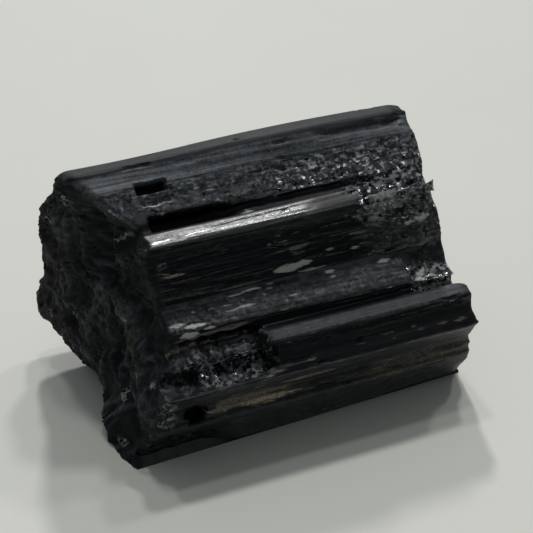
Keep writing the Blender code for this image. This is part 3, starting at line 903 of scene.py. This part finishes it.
    def build(self, shell: bmesh.types.BMesh) -> None:
        """Makes the sides: a flat grid, wrapped round and sewn up.

        Args:
            shell: an empty bmesh.
        """
        self.add_chips()
        columns, rings = self.columns(), self.rings()
        around, along = len(columns), len(rings) - 1
        bmesh.ops.create_grid(shell, x_segments=around, y_segments=along, size=HALF_GRID)
        layers = {coat: shell.verts.layers.float.new(coat.value) for coat in Coat}
        for vertex in shell.verts:
            column = columns[round((vertex.co.x + HALF_GRID) * around) % around]
            ring = rings[round((vertex.co.y + HALF_GRID) * along)]
            vertex.co, coats = self.point(ring, column)
            for coat, layer in layers.items():
                vertex[layer] = coats[coat]
        bmesh.ops.remove_doubles(shell, verts=shell.verts, dist=self.sewing)


class End(Enum):
    """The two broken ends. The value marks an end's faces while it is cut."""

    NEAR = 1
    FAR = 2


@dataclass
class BrokenEnd:
    """A broken end of the crystal: hackly, with fibres that fan out from one corner."""

    end: End
    cell: float  # mm, the size of the face's cells
    snap: float = 0.125  # of a cell: a cut this close to a corner goes through the corner
    # How the face follows its rim.
    rim_reach: float = 2.5
    rim_fade: float = 1.6
    rim_relief: float = 0.2  # the share of the relief that is left at the rim
    rim_step: int = 3  # every third point of the rim is enough to follow it
    rim_fall: int = 3  # power of the distance by which the following dies away
    rim_least: float = 0.1  # the least distance that counts
    # Lumps, as heights and widths in mm. The near break's are narrow and tall.
    roughness: float = 0.75
    near_grain: float = 3.4
    near_squeeze: float = 1.2
    near_stretch: float = 1.4
    far_grain: float = 6.0
    # Fibres.
    fan: tuple[float, float] = (14.5, 34.0)  # y and z that the fibres spread from
    fibre_depth: float = 0.5
    fibres_per_radian: float = 17.0
    fibre_length: float = 7.0
    fibre_share: float = 0.8
    fine_fibres: float = 2.3  # how many fine ones there are to a wide one
    fine_length: float = 2.0
    fine_share: float = 0.6
    bend: float = 0.12  # radians
    bend_width: float = 5.0
    # Grains, taller than wide and sheared by the fibres.
    grit_depth: float = 0.13
    grit_size: float = 0.7
    grit_shape: tuple[float, float, float] = (1.5, 1.3, 0.7)
    grit_amount: float = 0.75
    grit_spots: float = 2.5  # mm, width of the sugary spots
    grit_gain: float = 3.0
    grit_loss: float = 1.0
    # The grey bloom on the fibres, partly painted sheen on their tops, and the clay on the ridge.
    bloom: float = 0.95
    bloom_gain: float = 1.3
    bloom_loss: float = 0.1
    bloom_grains: float = 0.4
    bloom_grain_size: float = 0.45
    bloom_mean: float = 0.55
    bloom_swing: float = 1.1
    bloom_width: float = 4.0
    bloom_on_ridge: float = 1.1
    bloom_on_slab: float = 0.4
    clay_amount: float = 0.25
    clay_loss: float = 0.2
    clay_swing: float = 1.2
    clay_size: float = 0.6
    clay_stretch: float = 2.5
    clay_on_slab: float = 0.6

    def plane(self, y: float, z: float) -> float:
        """Works out the break's plane.

        Args:
            y: place on the face.
            z: place on the face.

        Returns:
            x of the plane there.
        """
        if self.end is End.FAR:
            step = smooth((y + FAR_STEP_LEAN * z - FAR_STEP_PLACE) / FAR_STEP_WIDTH)
            return LENGTH - FAR_INSET - FAR_STEP * step
        low = 0 if z < BREAK_HEIGHTS[1] else 1
        share = (z - BREAK_HEIGHTS[low]) / (BREAK_HEIGHTS[low + 1] - BREAK_HEIGHTS[low])
        place = BREAK_X[low] + (BREAK_X[low + 1] - BREAK_X[low]) * share
        slant = BREAK_SLANT[low] + (BREAK_SLANT[low + 1] - BREAK_SLANT[low]) * share
        return place - slant * y

    @staticmethod
    def ropes(across: float, along: float) -> float:
        """Rounded ropes with sharp gaps between them, from about -0.5 to 0.8."""
        return ROPE_TOP - ROPE_GAP * abs(noise.noise(Vector((across, along, ROPE_SLICE))))

    def relief(self, y: float, z: float) -> float:
        """Works out the break's creases, lumps, fibres and grains.

        Args:
            y: place on the face.
            z: place on the face.

        Returns:
            Their height along x.
        """
        fibres = self.fibres(y, z)
        height = -self.fibre_depth * fibres
        sheared, wide, tall = self.grit_shape
        point = Vector((sheared * fibres, y * wide, z * tall))
        height += self.grit_depth * grain_faces(point, self.grit_size)
        if self.end is End.FAR:
            return height + self.roughness * lumps(FAR_SLICE, y, z, self.far_grain)
        creases = sum(crease.at(y, z) for crease in CREASES)
        spot = (NEAR_SLICE, y * self.near_squeeze, z / self.near_stretch)
        return height + creases + self.roughness * lumps(*spot, self.near_grain)

    def build(self, shell: bmesh.types.BMesh) -> None:
        """Closes this end of the skin with one face, cuts it into cells and shapes them.

        Args:
            shell: the sides of the crystal, open at this end.
        """
        near = self.end is End.NEAR
        open_edges = [edge for edge in shell.edges if edge.is_boundary]
        rim = [edge for edge in open_edges if (edge.verts[0].co.x < LENGTH / 2) == near]
        corners = sorted({v for edge in rim for v in edge.verts}, key=lambda v: v.index)
        steps = [
            (v.co.y, v.co.z, v.co.x - self.plane(v.co.y, v.co.z))
            for v in corners[:: self.rim_step]
        ]
        face = bmesh.ops.contextual_create(shell, geom=rim)["faces"][0]
        face.material_index = self.end.value
        cells = self.cut(shell, face)
        layers = {coat: shell.verts.layers.float[coat.value] for coat in Coat}
        for vertex in {v for cell in cells for v in cell.verts}:
            if all(f.material_index == self.end.value for f in vertex.link_faces):
                y, z = vertex.co.y, vertex.co.z
                nearest = min(math.hypot(y - rim_y, z - rim_z) for rim_y, rim_z, _ in steps)
                fade = smooth(self.rim_relief + nearest / self.rim_fade)
                relief = fade * self.relief(y, z)
                vertex.co.x = self.plane(y, z) + self.follow_rim(y, z, steps) + relief
                spots = noise.noise(Vector((y, z, SPOT_SLICE)) / self.grit_spots)
                grit = self.grit_amount * smooth(self.grit_gain * spots - self.grit_loss)
                vertex[layers[Coat.GRIT]] = grit
                vertex[layers[Coat.MATT]] = 1.0
                vertex[layers[Coat.DUST_AND_SHEEN]] = self.dust(y, z)
                vertex[layers[Coat.CLAY]] = self.clay(y, z)
        for cell in cells:
            cell.material_index = 0

    def fibres(self, y: float, z: float) -> float:
        """Works out the fibres that fan out over the break.

        Args:
            y: place on the face.
            z: place on the face.

        Returns:
            Their height, from about -1 to 1.
        """
        spread = Vector((y, z)) - Vector(self.fan)
        angle = math.atan2(spread.x, -spread.y)
        bend = self.bend * noise.noise(Vector((y, z, BEND_SLICE)) / self.bend_width)
        turned = (angle + bend) * self.fibres_per_radian
        wide = self.ropes(turned, spread.length / self.fibre_length)
        along = spread.length / self.fine_length + FINE_SLICE
        fine = self.ropes(turned * self.fine_fibres, along)
        return self.fibre_share * wide + self.fine_share * fine

    def dust(self, y: float, z: float) -> float:
        """Works out the grey bloom on the tops of the fibres, partly painted sheen on those tops.

        Args:
            y: place on the face.
            z: place on the face.

        Returns:
            How much of it there is, thicker in some places.
        """
        drift = noise.noise(Vector((y, z, BLOOM_SLICE)) / self.bloom_width)
        place = self.bloom_mean + self.bloom_swing * drift
        if self.end is End.NEAR:
            slab = self.bloom_on_slab * SLAB.at(y, z)
            place -= self.bloom_on_ridge * PALE_RIDGE.at(y, z) + slab
        speckle = noise.noise(Vector((y, z, SPECKLE_SLICE)) / self.bloom_grain_size)
        tops = self.bloom_gain * self.fibres(y, z) - self.bloom_loss
        return self.bloom * smooth(tops + self.bloom_grains * speckle) * smooth(place)

    def clay(self, y: float, z: float) -> float:
        """Works out the pale clay on the ridges of the near break.

        Args:
            y: place on the face.
            z: place on the face.

        Returns:
            How much of it there is, 0 on the far break.
        """
        if self.end is End.FAR:
            return 0.0
        ridge = -PALE_RIDGE.at(y, z) - self.clay_on_slab * SLAB.at(y, z)
        spot = Vector((y, z / self.clay_stretch, CLAY_SLICE)) / self.clay_size
        swing = self.clay_swing * noise.noise(spot)
        return self.clay_amount * smooth(ridge - self.clay_loss + swing)

    def cut(
        self, shell: bmesh.types.BMesh, face: bmesh.types.BMFace
    ) -> list[bmesh.types.BMFace]:
        """Cuts the end face into square cells.

        Args:
            shell: the crystal.
            face: its end face.

        Returns:
            The cells.
        """
        spans = [
            (min(v.co[i] for v in face.verts), max(v.co[i] for v in face.verts)) for i in (1, 2)
        ]
        parts = [face, *face.edges, *face.verts]
        for (low, high), normal in zip(spans, (Vector((0, 1, 0)), Vector((0, 0, 1)))):
            place = low + self.cell / 2
            while place < high:
                done = bmesh.ops.bisect_plane(
                    shell,
                    geom=parts,
                    dist=self.cell * self.snap,
                    plane_co=normal * place,
                    plane_no=normal,
                )
                parts = done["geom"]
                place += self.cell
        return [part for part in parts if isinstance(part, bmesh.types.BMFace)]

    def follow_rim(self, y: float, z: float, steps: list[tuple[float, float, float]]) -> float:
        """How far the face follows its rim here.

        Args:
            y: place on the face.
            z: place on the face.
            steps: (y, z, offset from the plane) of points of the rim.

        Returns:
            An average of the offsets, which counts near ones most and dies away inwards.
        """
        total, weights = 0.0, self.rim_reach**-self.rim_fall
        for rim_y, rim_z, step in steps:
            away = max(math.hypot(y - rim_y, z - rim_z), self.rim_least)
            weight = away**-self.rim_fall
            total += weight * step
            weights += weight
        return total / weights


def linear(colour: str) -> tuple[float, float, float, float]:
    """Turns an sRGB colour linear.

    Args:
        colour: in hex, such as #101214.

    Returns:
        The linear values that the shaders take.
    """
    parts = [int(colour[i : i + 2], 16) / 255 for i in (1, 3, 5)]
    curve = [p / 12.92 if p <= 0.04045 else ((p + 0.055) / 1.055) ** 2.4 for p in parts]
    return (*curve, 1.0)


def per_mm(size: float) -> float:
    """The texture scale that makes a pattern this many millimetres wide."""
    return 1.0 / (size * MM)


def add(
    tree: bpy.types.NodeTree,
    kind: str,
    settings: dict | None = None,
    inputs: dict | None = None,
    output: str | int = 0,
) -> bpy.types.NodeSocket | None:
    """Adds a node.

    Args:
        tree: the node tree.
        kind: the node's type name.
        settings: its properties by name.
        inputs: its input sockets by name or number, each a value or a socket to link.
        output: name or number of the output socket that is wanted.

    Returns:
        The output socket, or None where the node has none.
    """
    made = tree.nodes.new(kind)
    for name, value in (settings or {}).items():
        setattr(made, name, value)
    for name, value in (inputs or {}).items():
        if isinstance(value, bpy.types.NodeSocket):
            tree.links.new(value, made.inputs[name])
        else:
            made.inputs[name].default_value = value
    return made.outputs[output] if made.outputs else None


def blank_material(name: str) -> tuple[bpy.types.Material, bpy.types.NodeTree]:
    """Makes a material.

    Args:
        name: what the material is.

    Returns:
        The material and its empty node tree.
    """
    material = bpy.data.materials.new(name)
    material.use_nodes = True
    material.node_tree.nodes.clear()
    return material, material.node_tree


@dataclass(frozen=True)
class Cloud:
    """A noise pattern: the width of its lumps in mm, and how much finer detail it has."""

    size: float
    detail: float
    roughness: float = 0.6

    def inputs(self, place: Socket) -> dict[str, Socket | float]:
        """The inputs of the noise, read at this place."""
        size = {"Vector": place, "Scale": per_mm(self.size)}
        return {**size, "Detail": self.detail, "Roughness": self.roughness}


@dataclass(frozen=True)
class Scatter:
    """How a coat breaks up into specks: how much it is strengthened, and how hard it breaks."""

    gain: float
    contrast: float

    def draw(self, tree: bpy.types.NodeTree, amount: Socket, speck: Socket) -> Socket:
        """Breaks a coat up.

        Args:
            tree: the node tree.
            amount: how much of the coat there is.
            speck: the pattern that breaks it up.

        Returns:
            The coat in specks, from 0 to 1.
        """
        grown = add(tree, "ShaderNodeMath", {"operation": "MULTIPLY"}, {0: amount, 1: self.gain})
        rise, drop = SPECK_RISE * self.contrast, SPECK_DROP * self.contrast
        spotted = add(tree, "ShaderNodeMath", MULTIPLY_ADD, {0: speck, 1: rise, 2: drop})
        clamped = {**MULTIPLY_ADD, "use_clamp": True}
        total = add(tree, "ShaderNodeMath", clamped, {0: amount, 1: spotted, 2: grown})
        within = {"operation": "MULTIPLY", "use_clamp": True}
        return add(tree, "ShaderNodeMath", within, {0: total, 1: amount})


@dataclass(frozen=True)
class SchorlFinish:
    """Schorl, the black iron tourmaline: opaque, glassy along the ribs and sugary where broken.

    The eye sees bright lengthwise streaks on the ribs, and sparks from the broken grains. Pale
    grains and pale marks in the colour are painted glints, and the grey bloom is partly painted
    sheen.
    """

    black: str = "#030509"
    grey: str = "#080b11"
    # grey bloom, partly painted sheen on faces that look up and painted glitter at the far breaks
    dust: str = "#545b60"
    clay: str = "#a39b84"
    # pale cleavage flakes, and painted glints on the ribs
    flake_and_glint_colour: str = "#b3b8b3"
    # pale crushed grains, painted in as scattered glints on the broken places
    bruise_and_glint: str = "#8d9294"
    ior: float = 1.64
    # Patterns.
    mottle_cloud: Cloud = Cloud(3.0, 4.0)
    bruise_and_glint_cloud: Cloud = Cloud(1.7, 3.0)
    speck_cloud: Cloud = Cloud(0.35, 2.0)
    streak_width: float = 0.16  # mm, real striations are finer and wouldn't show
    streak_length: float = 6.0
    streak_detail: float = 3.0
    streak_roughness: float = 0.65
    # How the coats break up.
    bruise_and_glint_scatter: Scatter = Scatter(3.1, 6.0)
    bruise_and_glint_grains: float = 0.3  # how much the pale grains painted as glints follow single grains
    clays: Scatter = Scatter(2.2, 2.9)
    flake_and_glint_scatter: Scatter = Scatter(1.8, 0.6)
    dust_and_sheen_scatter: Scatter = Scatter(1.6, 2.1)
    speckled: float = 0.5  # how much clay and the grey bloom with its painted sheen follow the specks, and not the streaks
    clouded: float = 0.35  # how much the grey bloom with its painted sheen follows the wide clouds
    # Gloss.
    rib_roughness: tuple[float, float] = (0.17, 0.3)
    streak_range: tuple[float, float] = (0.3, 0.7)  # the part of the pattern that shows
    grit_roughness: float = 0.2
    matt_roughness: float = 0.6
    clay_roughness: float = 0.75
    full_shine: float = 0.5
    matt_shine: float = 0.15
    mirror_shine: float = 1.0
    mirror_share: float = 0.7  # of the grains where it is fully broken
    mirror_start: float = 0.25  # how broken it is where the first mirrors show
    # Relief.
    streak_depth: float = 0.016
    speck_depth: float = 0.06
    spark_size: float = 0.5  # mm, the broken grains, drawn as coarse as they need to show
    spark_tilt: float = 1.9
    rough_tilt: float = 0.7
    rib_tilt: float = 0.05

    def material(self) -> bpy.types.Material:
        """Makes the material.

        Returns:
            The material.
        """
        material, tree = blank_material("schorl_glassy_and_sugary")
        place = add(tree, "ShaderNodeTexCoord", output="Object")
        grit, clay, chip, dust, matt = (
            add(tree, "ShaderNodeAttribute", {"attribute_name": coat.value}, output="Fac")
            for coat in (Coat.GRIT, Coat.CLAY, Coat.FLAKE_AND_GLINT, Coat.DUST_AND_SHEEN, Coat.MATT)
        )
        size = {"Vector": place, "Scale": per_mm(self.spark_size)}
        grains = add(tree, "ShaderNodeTexVoronoi", None, size, "Color")
        mirrors = self.mirrors(tree, grains, grit)
        streaks = self.streaks(tree, place)
        cloud, speck, mottle = (
            add(tree, "ShaderNodeTexNoise", None, pattern.inputs(place), "Fac")
            for pattern in (self.bruise_and_glint_cloud, self.speck_cloud, self.mottle_cloud)
        )
        hue = add(tree, "ShaderNodeSeparateColor", None, {0: grains}, "Green")
        bruise_and_glint_pattern = add(tree, "ShaderNodeMix", FLOAT, {0: self.bruise_and_glint_grains, 2: cloud, 3: hue})
        lined = add(tree, "ShaderNodeMix", FLOAT, {0: self.speckled, 2: streaks, 3: speck})
        patchy = add(tree, "ShaderNodeMix", FLOAT, {0: self.clouded, 2: lined, 3: cloud})
        clay = self.clays.draw(tree, clay, lined)
        colour = linear(self.black)
        # The bloom colour is partly painted sheen. The pale grain colour and part of the flake
        # colour are painted glints.
        for share, coat in (
            (mottle, self.grey),
            (self.dust_and_sheen_scatter.draw(tree, dust, patchy), self.dust),
            (self.bruise_and_glint_scatter.draw(tree, grit, bruise_and_glint_pattern), self.bruise_and_glint),
            (clay, self.clay),
            (self.flake_and_glint_scatter.draw(tree, chip, speck), self.flake_and_glint_colour),
        ):
            colour = add(tree, "ShaderNodeMix", COLOUR, {0: share, 6: colour, 7: linear(coat)}, 2)
        shader = {
            "Base Color": colour,
            "Roughness": self.roughness(tree, streaks, mirrors, matt, clay),
            "Specular IOR Level": self.shine(tree, matt, mirrors),
            "IOR": self.ior,
            "Metallic": 0.0,
            "Normal": self.normal(tree, streaks, speck, grains, grit, mirrors),
        }
        surface = add(tree, "ShaderNodeBsdfPrincipled", None, shader, "BSDF")
        add(tree, "ShaderNodeOutputMaterial", None, {"Surface": surface})
        return material

    def streaks(self, tree: bpy.types.NodeTree, place: Socket) -> Socket:
        """Draws fine lines along the ribs.

        Args:
            tree: the node tree.
            place: where on the crystal.

        Returns:
            The lines, from 0 to 1.
        """
        scale = (per_mm(self.streak_length), per_mm(self.streak_width), per_mm(self.streak_width))
        drawn = add(tree, "ShaderNodeMapping", None, {"Vector": place, "Scale": scale})
        inputs = {"Scale": 1.0, "Detail": self.streak_detail, "Roughness": self.streak_roughness}
        return add(tree, "ShaderNodeTexNoise", None, {"Vector": drawn, **inputs}, "Fac")

    def mirrors(self, tree: bpy.types.NodeTree, grains: Socket, grit: Socket) -> Socket:
        """Picks grains that are smooth little mirrors: more where the crystal is broken.

        Args:
            tree: the node tree.
            grains: a random colour for each grain.
            grit: how broken the surface is.

        Returns:
            1 on the mirrors, else 0.
        """
        dice = add(tree, "ShaderNodeSeparateColor", None, {0: grains}, "Red")
        span = {0: grit, 1: self.mirror_start, 2: 1.0, 3: 0.0, 4: self.mirror_share}
        limit = add(tree, "ShaderNodeMapRange", None, span)
        return add(tree, "ShaderNodeMath", {"operation": "LESS_THAN"}, {0: dice, 1: limit})

    def roughness(
        self,
        tree: bpy.types.NodeTree,
        streaks: Socket,
        mirrors: Socket,
        matt: Socket,
        clay: Socket,
    ) -> Socket:
        """Glassy along the ribs, dull where weathered, small mirrors where broken, dull clay.

        Args:
            tree: the node tree.
            streaks: the lines along the ribs.
            mirrors: 1 on the mirror grains.
            matt: how weathered the surface is.
            clay: how much clay there is.

        Returns:
            The roughness.
        """
        (start, end), (low, high) = self.streak_range, self.rib_roughness
        span = {0: streaks, 1: start, 2: end, 3: low, 4: high}
        value = add(tree, "ShaderNodeMapRange", None, span)
        for share, rough in (
            (matt, self.matt_roughness),
            (mirrors, self.grit_roughness),
            (clay, self.clay_roughness),
        ):
            value = add(tree, "ShaderNodeMix", FLOAT, {0: share, 2: value, 3: rough})
        return value

    def shine(self, tree: bpy.types.NodeTree, matt: Socket, mirrors: Socket) -> Socket:
        """Full strength of reflection on bare crystal, and much less where it is weathered."""
        inputs = {0: matt, 2: self.full_shine, 3: self.matt_shine}
        plain = add(tree, "ShaderNodeMix", FLOAT, inputs)
        return add(tree, "ShaderNodeMix", FLOAT, {0: mirrors, 2: plain, 3: self.mirror_shine})

    def normal(
        self,
        tree: bpy.types.NodeTree,
        streaks: Socket,
        speck: Socket,
        grains: Socket,
        grit: Socket,
        mirrors: Socket,
    ) -> Socket:
        """Lengthwise scratches, and grains that are each tilted their own way.

        Args:
            tree: the node tree.
            streaks: the lines along the ribs.
            speck: the pattern of fine specks.
            grains: a random colour for each grain.
            grit: how broken the surface is.
            mirrors: 1 on the mirror grains.

        Returns:
            The normal.
        """
        lines = {"Height": streaks, "Distance": self.streak_depth * MM, "Strength": 1.0}
        fine = add(tree, "ShaderNodeBump", None, lines)
        pits = {"Height": speck, "Distance": self.speck_depth * MM, "Strength": grit}
        rough = add(tree, "ShaderNodeBump", None, {**pits, "Normal": fine})
        away = {0: grains, 1: MIDDLE_COLOUR}
        centred = add(tree, "ShaderNodeVectorMath", {"operation": "SUBTRACT"}, away)
        tilts = {0: grit, 2: self.rib_tilt, 3: self.rough_tilt}
        tilt = add(tree, "ShaderNodeMix", FLOAT, tilts)
        tilt = add(tree, "ShaderNodeMix", FLOAT, {0: mirrors, 2: tilt, 3: self.spark_tilt})
        scaled = {0: centred, "Scale": tilt}
        leaning = add(tree, "ShaderNodeVectorMath", {"operation": "SCALE"}, scaled)
        both = {0: rough, 1: leaning}
        total = add(tree, "ShaderNodeVectorMath", {"operation": "ADD"}, both)
        return add(tree, "ShaderNodeVectorMath", {"operation": "NORMALIZE"}, {0: total})


@dataclass
class Crystal:
    """The whole crystal: its ribbed sides and its two broken ends, in one closed mesh."""

    sides: RibbedSides = field(default_factory=RibbedSides)
    near_end: BrokenEnd = field(default_factory=lambda: BrokenEnd(End.NEAR, 0.33))
    far_end: BrokenEnd = field(default_factory=lambda: BrokenEnd(End.FAR, 0.5))
    finish: SchorlFinish = field(default_factory=SchorlFinish)
    sharp_angle: float = 38.0  # degrees
    worn_length: float = 1.6  # how far in from the far end the rim is worn
    worn_above: float = 0.6  # the foot keeps its edge
    worn_rounds: int = 10
    worn_factor: float = 0.5  # how far a point goes to its neighbours' middle each time

    def build(self) -> bpy.types.Object:
        """Builds the crystal in place of the plain solid.

        Returns:
            The crystal.
        """
        shell = bmesh.new()
        self.sides.build(shell)
        shell.verts.index_update()
        self.near_end.build(shell)
        self.far_end.build(shell)
        self.wear(shell)
        wide = [face for face in shell.faces if len(face.verts) > QUAD]
        bmesh.ops.triangulate(shell, faces=wide)
        bmesh.ops.recalc_face_normals(shell, faces=shell.faces)
        low, high = CAD_BOX
        for vertex in shell.verts:
            spot = (vertex.co - PART_ORIGIN) * MM
            vertex.co = Vector(min(max(spot[i], low[i]), high[i]) for i in range(3))
        mesh = bpy.data.meshes.new("schorl_crystal")
        shell.to_mesh(mesh)
        shell.free()
        mesh.shade_smooth()
        mesh.set_sharp_from_angle(angle=math.radians(self.sharp_angle))
        piece = bpy.data.objects.new("schorl_crystal", mesh)
        bpy.context.scene.collection.objects.link(piece)
        return piece

    def wear(self, shell: bmesh.types.BMesh) -> None:
        """Rounds the far rim off, where handling has taken its splinters.

        Args:
            shell: the closed crystal, in mm.
        """
        start = LENGTH - self.worn_length
        worn = [v for v in shell.verts if v.co.x > start and v.co.z > self.worn_above]
        axes = {"use_axis_x": True, "use_axis_y": True, "use_axis_z": True}
        for _ in range(self.worn_rounds):
            bmesh.ops.smooth_vert(shell, verts=worn, factor=self.worn_factor, **axes)

    def dress(self, piece: bpy.types.Object) -> None:
        """Gives the crystal its finish and its place in the part.

        Args:
            piece: the crystal.
        """
        piece.data.materials.append(self.finish.material())
        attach(piece, "root")
        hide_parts(NODE)


@dataclass
class Table:
    """A plain pale table top."""

    radius: float = 4.0
    sides: int = 96
    colour: str = "#d7d8d0"
    mottle: str = "#d2d3ca"
    mottle_cloud: Cloud = Cloud(40.0, 3.0)
    grain_cloud: Cloud = Cloud(0.5, 2.0)
    grain_depth: float = 0.02
    grain_strength: float = 0.5
    roughness: float = 0.6
    shine: float = 0.15

    def build(self) -> bpy.types.Object:
        """Builds the table top.

        Returns:
            The table top.
        """
        shell = bmesh.new()
        bmesh.ops.create_circle(shell, cap_ends=True, segments=self.sides, radius=self.radius)
        mesh = bpy.data.meshes.new("table_top")
        shell.to_mesh(mesh)
        shell.free()
        top = bpy.data.objects.new("table_top", mesh)
        bpy.context.scene.collection.objects.link(top)
        return top

    def dress(self, top: bpy.types.Object) -> None:
        """Paints the board: matt and very slightly mottled.

        Args:
            top: the table top.
        """
        material, tree = blank_material("painted_board_matt")
        place = add(tree, "ShaderNodeTexCoord", output="Object")
        cloud, grain = (
            add(tree, "ShaderNodeTexNoise", None, pattern.inputs(place), "Fac")
            for pattern in (self.mottle_cloud, self.grain_cloud)
        )
        colours = {0: cloud, 6: linear(self.colour), 7: linear(self.mottle)}
        depth = {"Distance": self.grain_depth * MM, "Strength": self.grain_strength}
        shader = {
            "Base Color": add(tree, "ShaderNodeMix", COLOUR, colours, 2),
            "Roughness": self.roughness,
            "Specular IOR Level": self.shine,
            "Normal": add(tree, "ShaderNodeBump", None, {"Height": grain, **depth}),
        }
        surface = add(tree, "ShaderNodeBsdfPrincipled", None, shader, "BSDF")
        add(tree, "ShaderNodeOutputMaterial", None, {"Surface": surface})
        top.data.materials.append(material)


@dataclass(frozen=True)
class Lamp:
    """A round soft lamp."""

    name: str
    toward: tuple[float, float, float]  # from the crystal to the lamp, any length
    light: float  # how much of it falls on the table
    width: float = 0.4  # metres
    distance: float = 5.0

    def build(self) -> None:
        """Hangs the lamp, turned to the crystal."""
        aim = Vector(self.toward).normalized()
        data = bpy.data.lights.new(self.name, "AREA")
        data.shape = "DISK"
        data.size = self.width
        data.energy = self.light * math.pi * self.distance**2 / aim.z
        lamp = bpy.data.objects.new(self.name, data)
        lamp.location = aim * self.distance
        lamp.rotation_euler = aim.to_track_quat("Z", "Y").to_euler()
        bpy.context.scene.collection.objects.link(lamp)


@dataclass(frozen=True)
class Glow:
    """A pale part of the room: the axis it lies along, where it starts and is full, its light."""

    axis: str
    start: float
    full: float
    dark: float
    light: float


@dataclass
class Studio:
    """The table, the lamps, the dim room and the camera."""

    lamps: tuple[Lamp, ...] = (
        Lamp("low_lamp_behind", (0.37, 1.23, 1.0), 0.76),
        Lamp("ceiling_lamp_left", (0.0, 0.54, 1.0), 0.3),
        Lamp("ceiling_lamp_key", (0.4, 0.5, 1.0), 0.5),
        Lamp("ceiling_lamp_right", (0.85, 0.52, 1.0), 0.25),
        Lamp("ceiling_lamp_middle", (0.15, 0.28, 1.0), 0.26),
    )
    ceiling: Glow = Glow("Z", 0.4, 0.85, 0.02, 0.3)
    wall_behind: Glow = Glow("Y", 0.2, 0.9, 0.0, 0.42)
    air: str = "#e8edf2"
    camera_place: tuple[float, float, float] = (-0.05408, -0.141001, 0.129081)
    camera_turn: tuple[float, float, float] = (54.0, 0.0, -21.9164)
    lens: float = 83.156
    sensor: float = 36.0  # mm wide
    clip_start: float = 0.01

    def build(self) -> None:
        """Sets up everything round the crystal."""
        table = Table()
        table.dress(table.build())
        for lamp in self.lamps:
            lamp.build()
        self.room()
        self.camera()
        bpy.context.scene.view_settings.view_transform = "Standard"

    def room(self) -> None:
        """A dim room with a pale wall behind the crystal."""
        world = bpy.data.worlds.new("room")
        world.use_nodes = True
        tree = world.node_tree
        tree.nodes.clear()
        aim = add(tree, "ShaderNodeTexCoord", output="Generated")
        above, behind = (
            add(
                tree,
                "ShaderNodeMapRange",
                None,
                {
                    0: add(tree, "ShaderNodeSeparateXYZ", None, {0: aim}, glow.axis),
                    1: glow.start,
                    2: glow.full,
                    3: glow.dark,
                    4: glow.light,
                },
            )
            for glow in (self.ceiling, self.wall_behind)
        )
        light = add(tree, "ShaderNodeMath", {"operation": "ADD"}, {0: above, 1: behind})
        inputs = {"Color": linear(self.air), "Strength": light}
        surface = add(tree, "ShaderNodeBackground", None, inputs)
        add(tree, "ShaderNodeOutputWorld", None, {"Surface": surface})
        bpy.context.scene.world = world

    def camera(self) -> None:
        """The camera, which looks down at the near end and the ribs."""
        data = bpy.data.cameras.new("camera")
        data.lens = self.lens
        data.sensor_width = self.sensor
        data.clip_start = self.clip_start
        camera = bpy.data.objects.new("camera", data)
        camera.location = self.camera_place
        camera.rotation_euler = [math.radians(turn) for turn in self.camera_turn]
        bpy.context.scene.collection.objects.link(camera)
        bpy.context.scene.camera = camera


def main() -> None:
    """Builds the crystal and the studio."""
    logging.basicConfig(level=logging.INFO)
    crystal = Crystal()
    piece = crystal.build()
    crystal.dress(piece)
    triangles = sum(len(face.vertices) - 2 for face in piece.data.polygons)
    log.info("%s: %d triangles", piece.name, triangles)
    Studio().build()


if __name__ == "__main__":
    main()
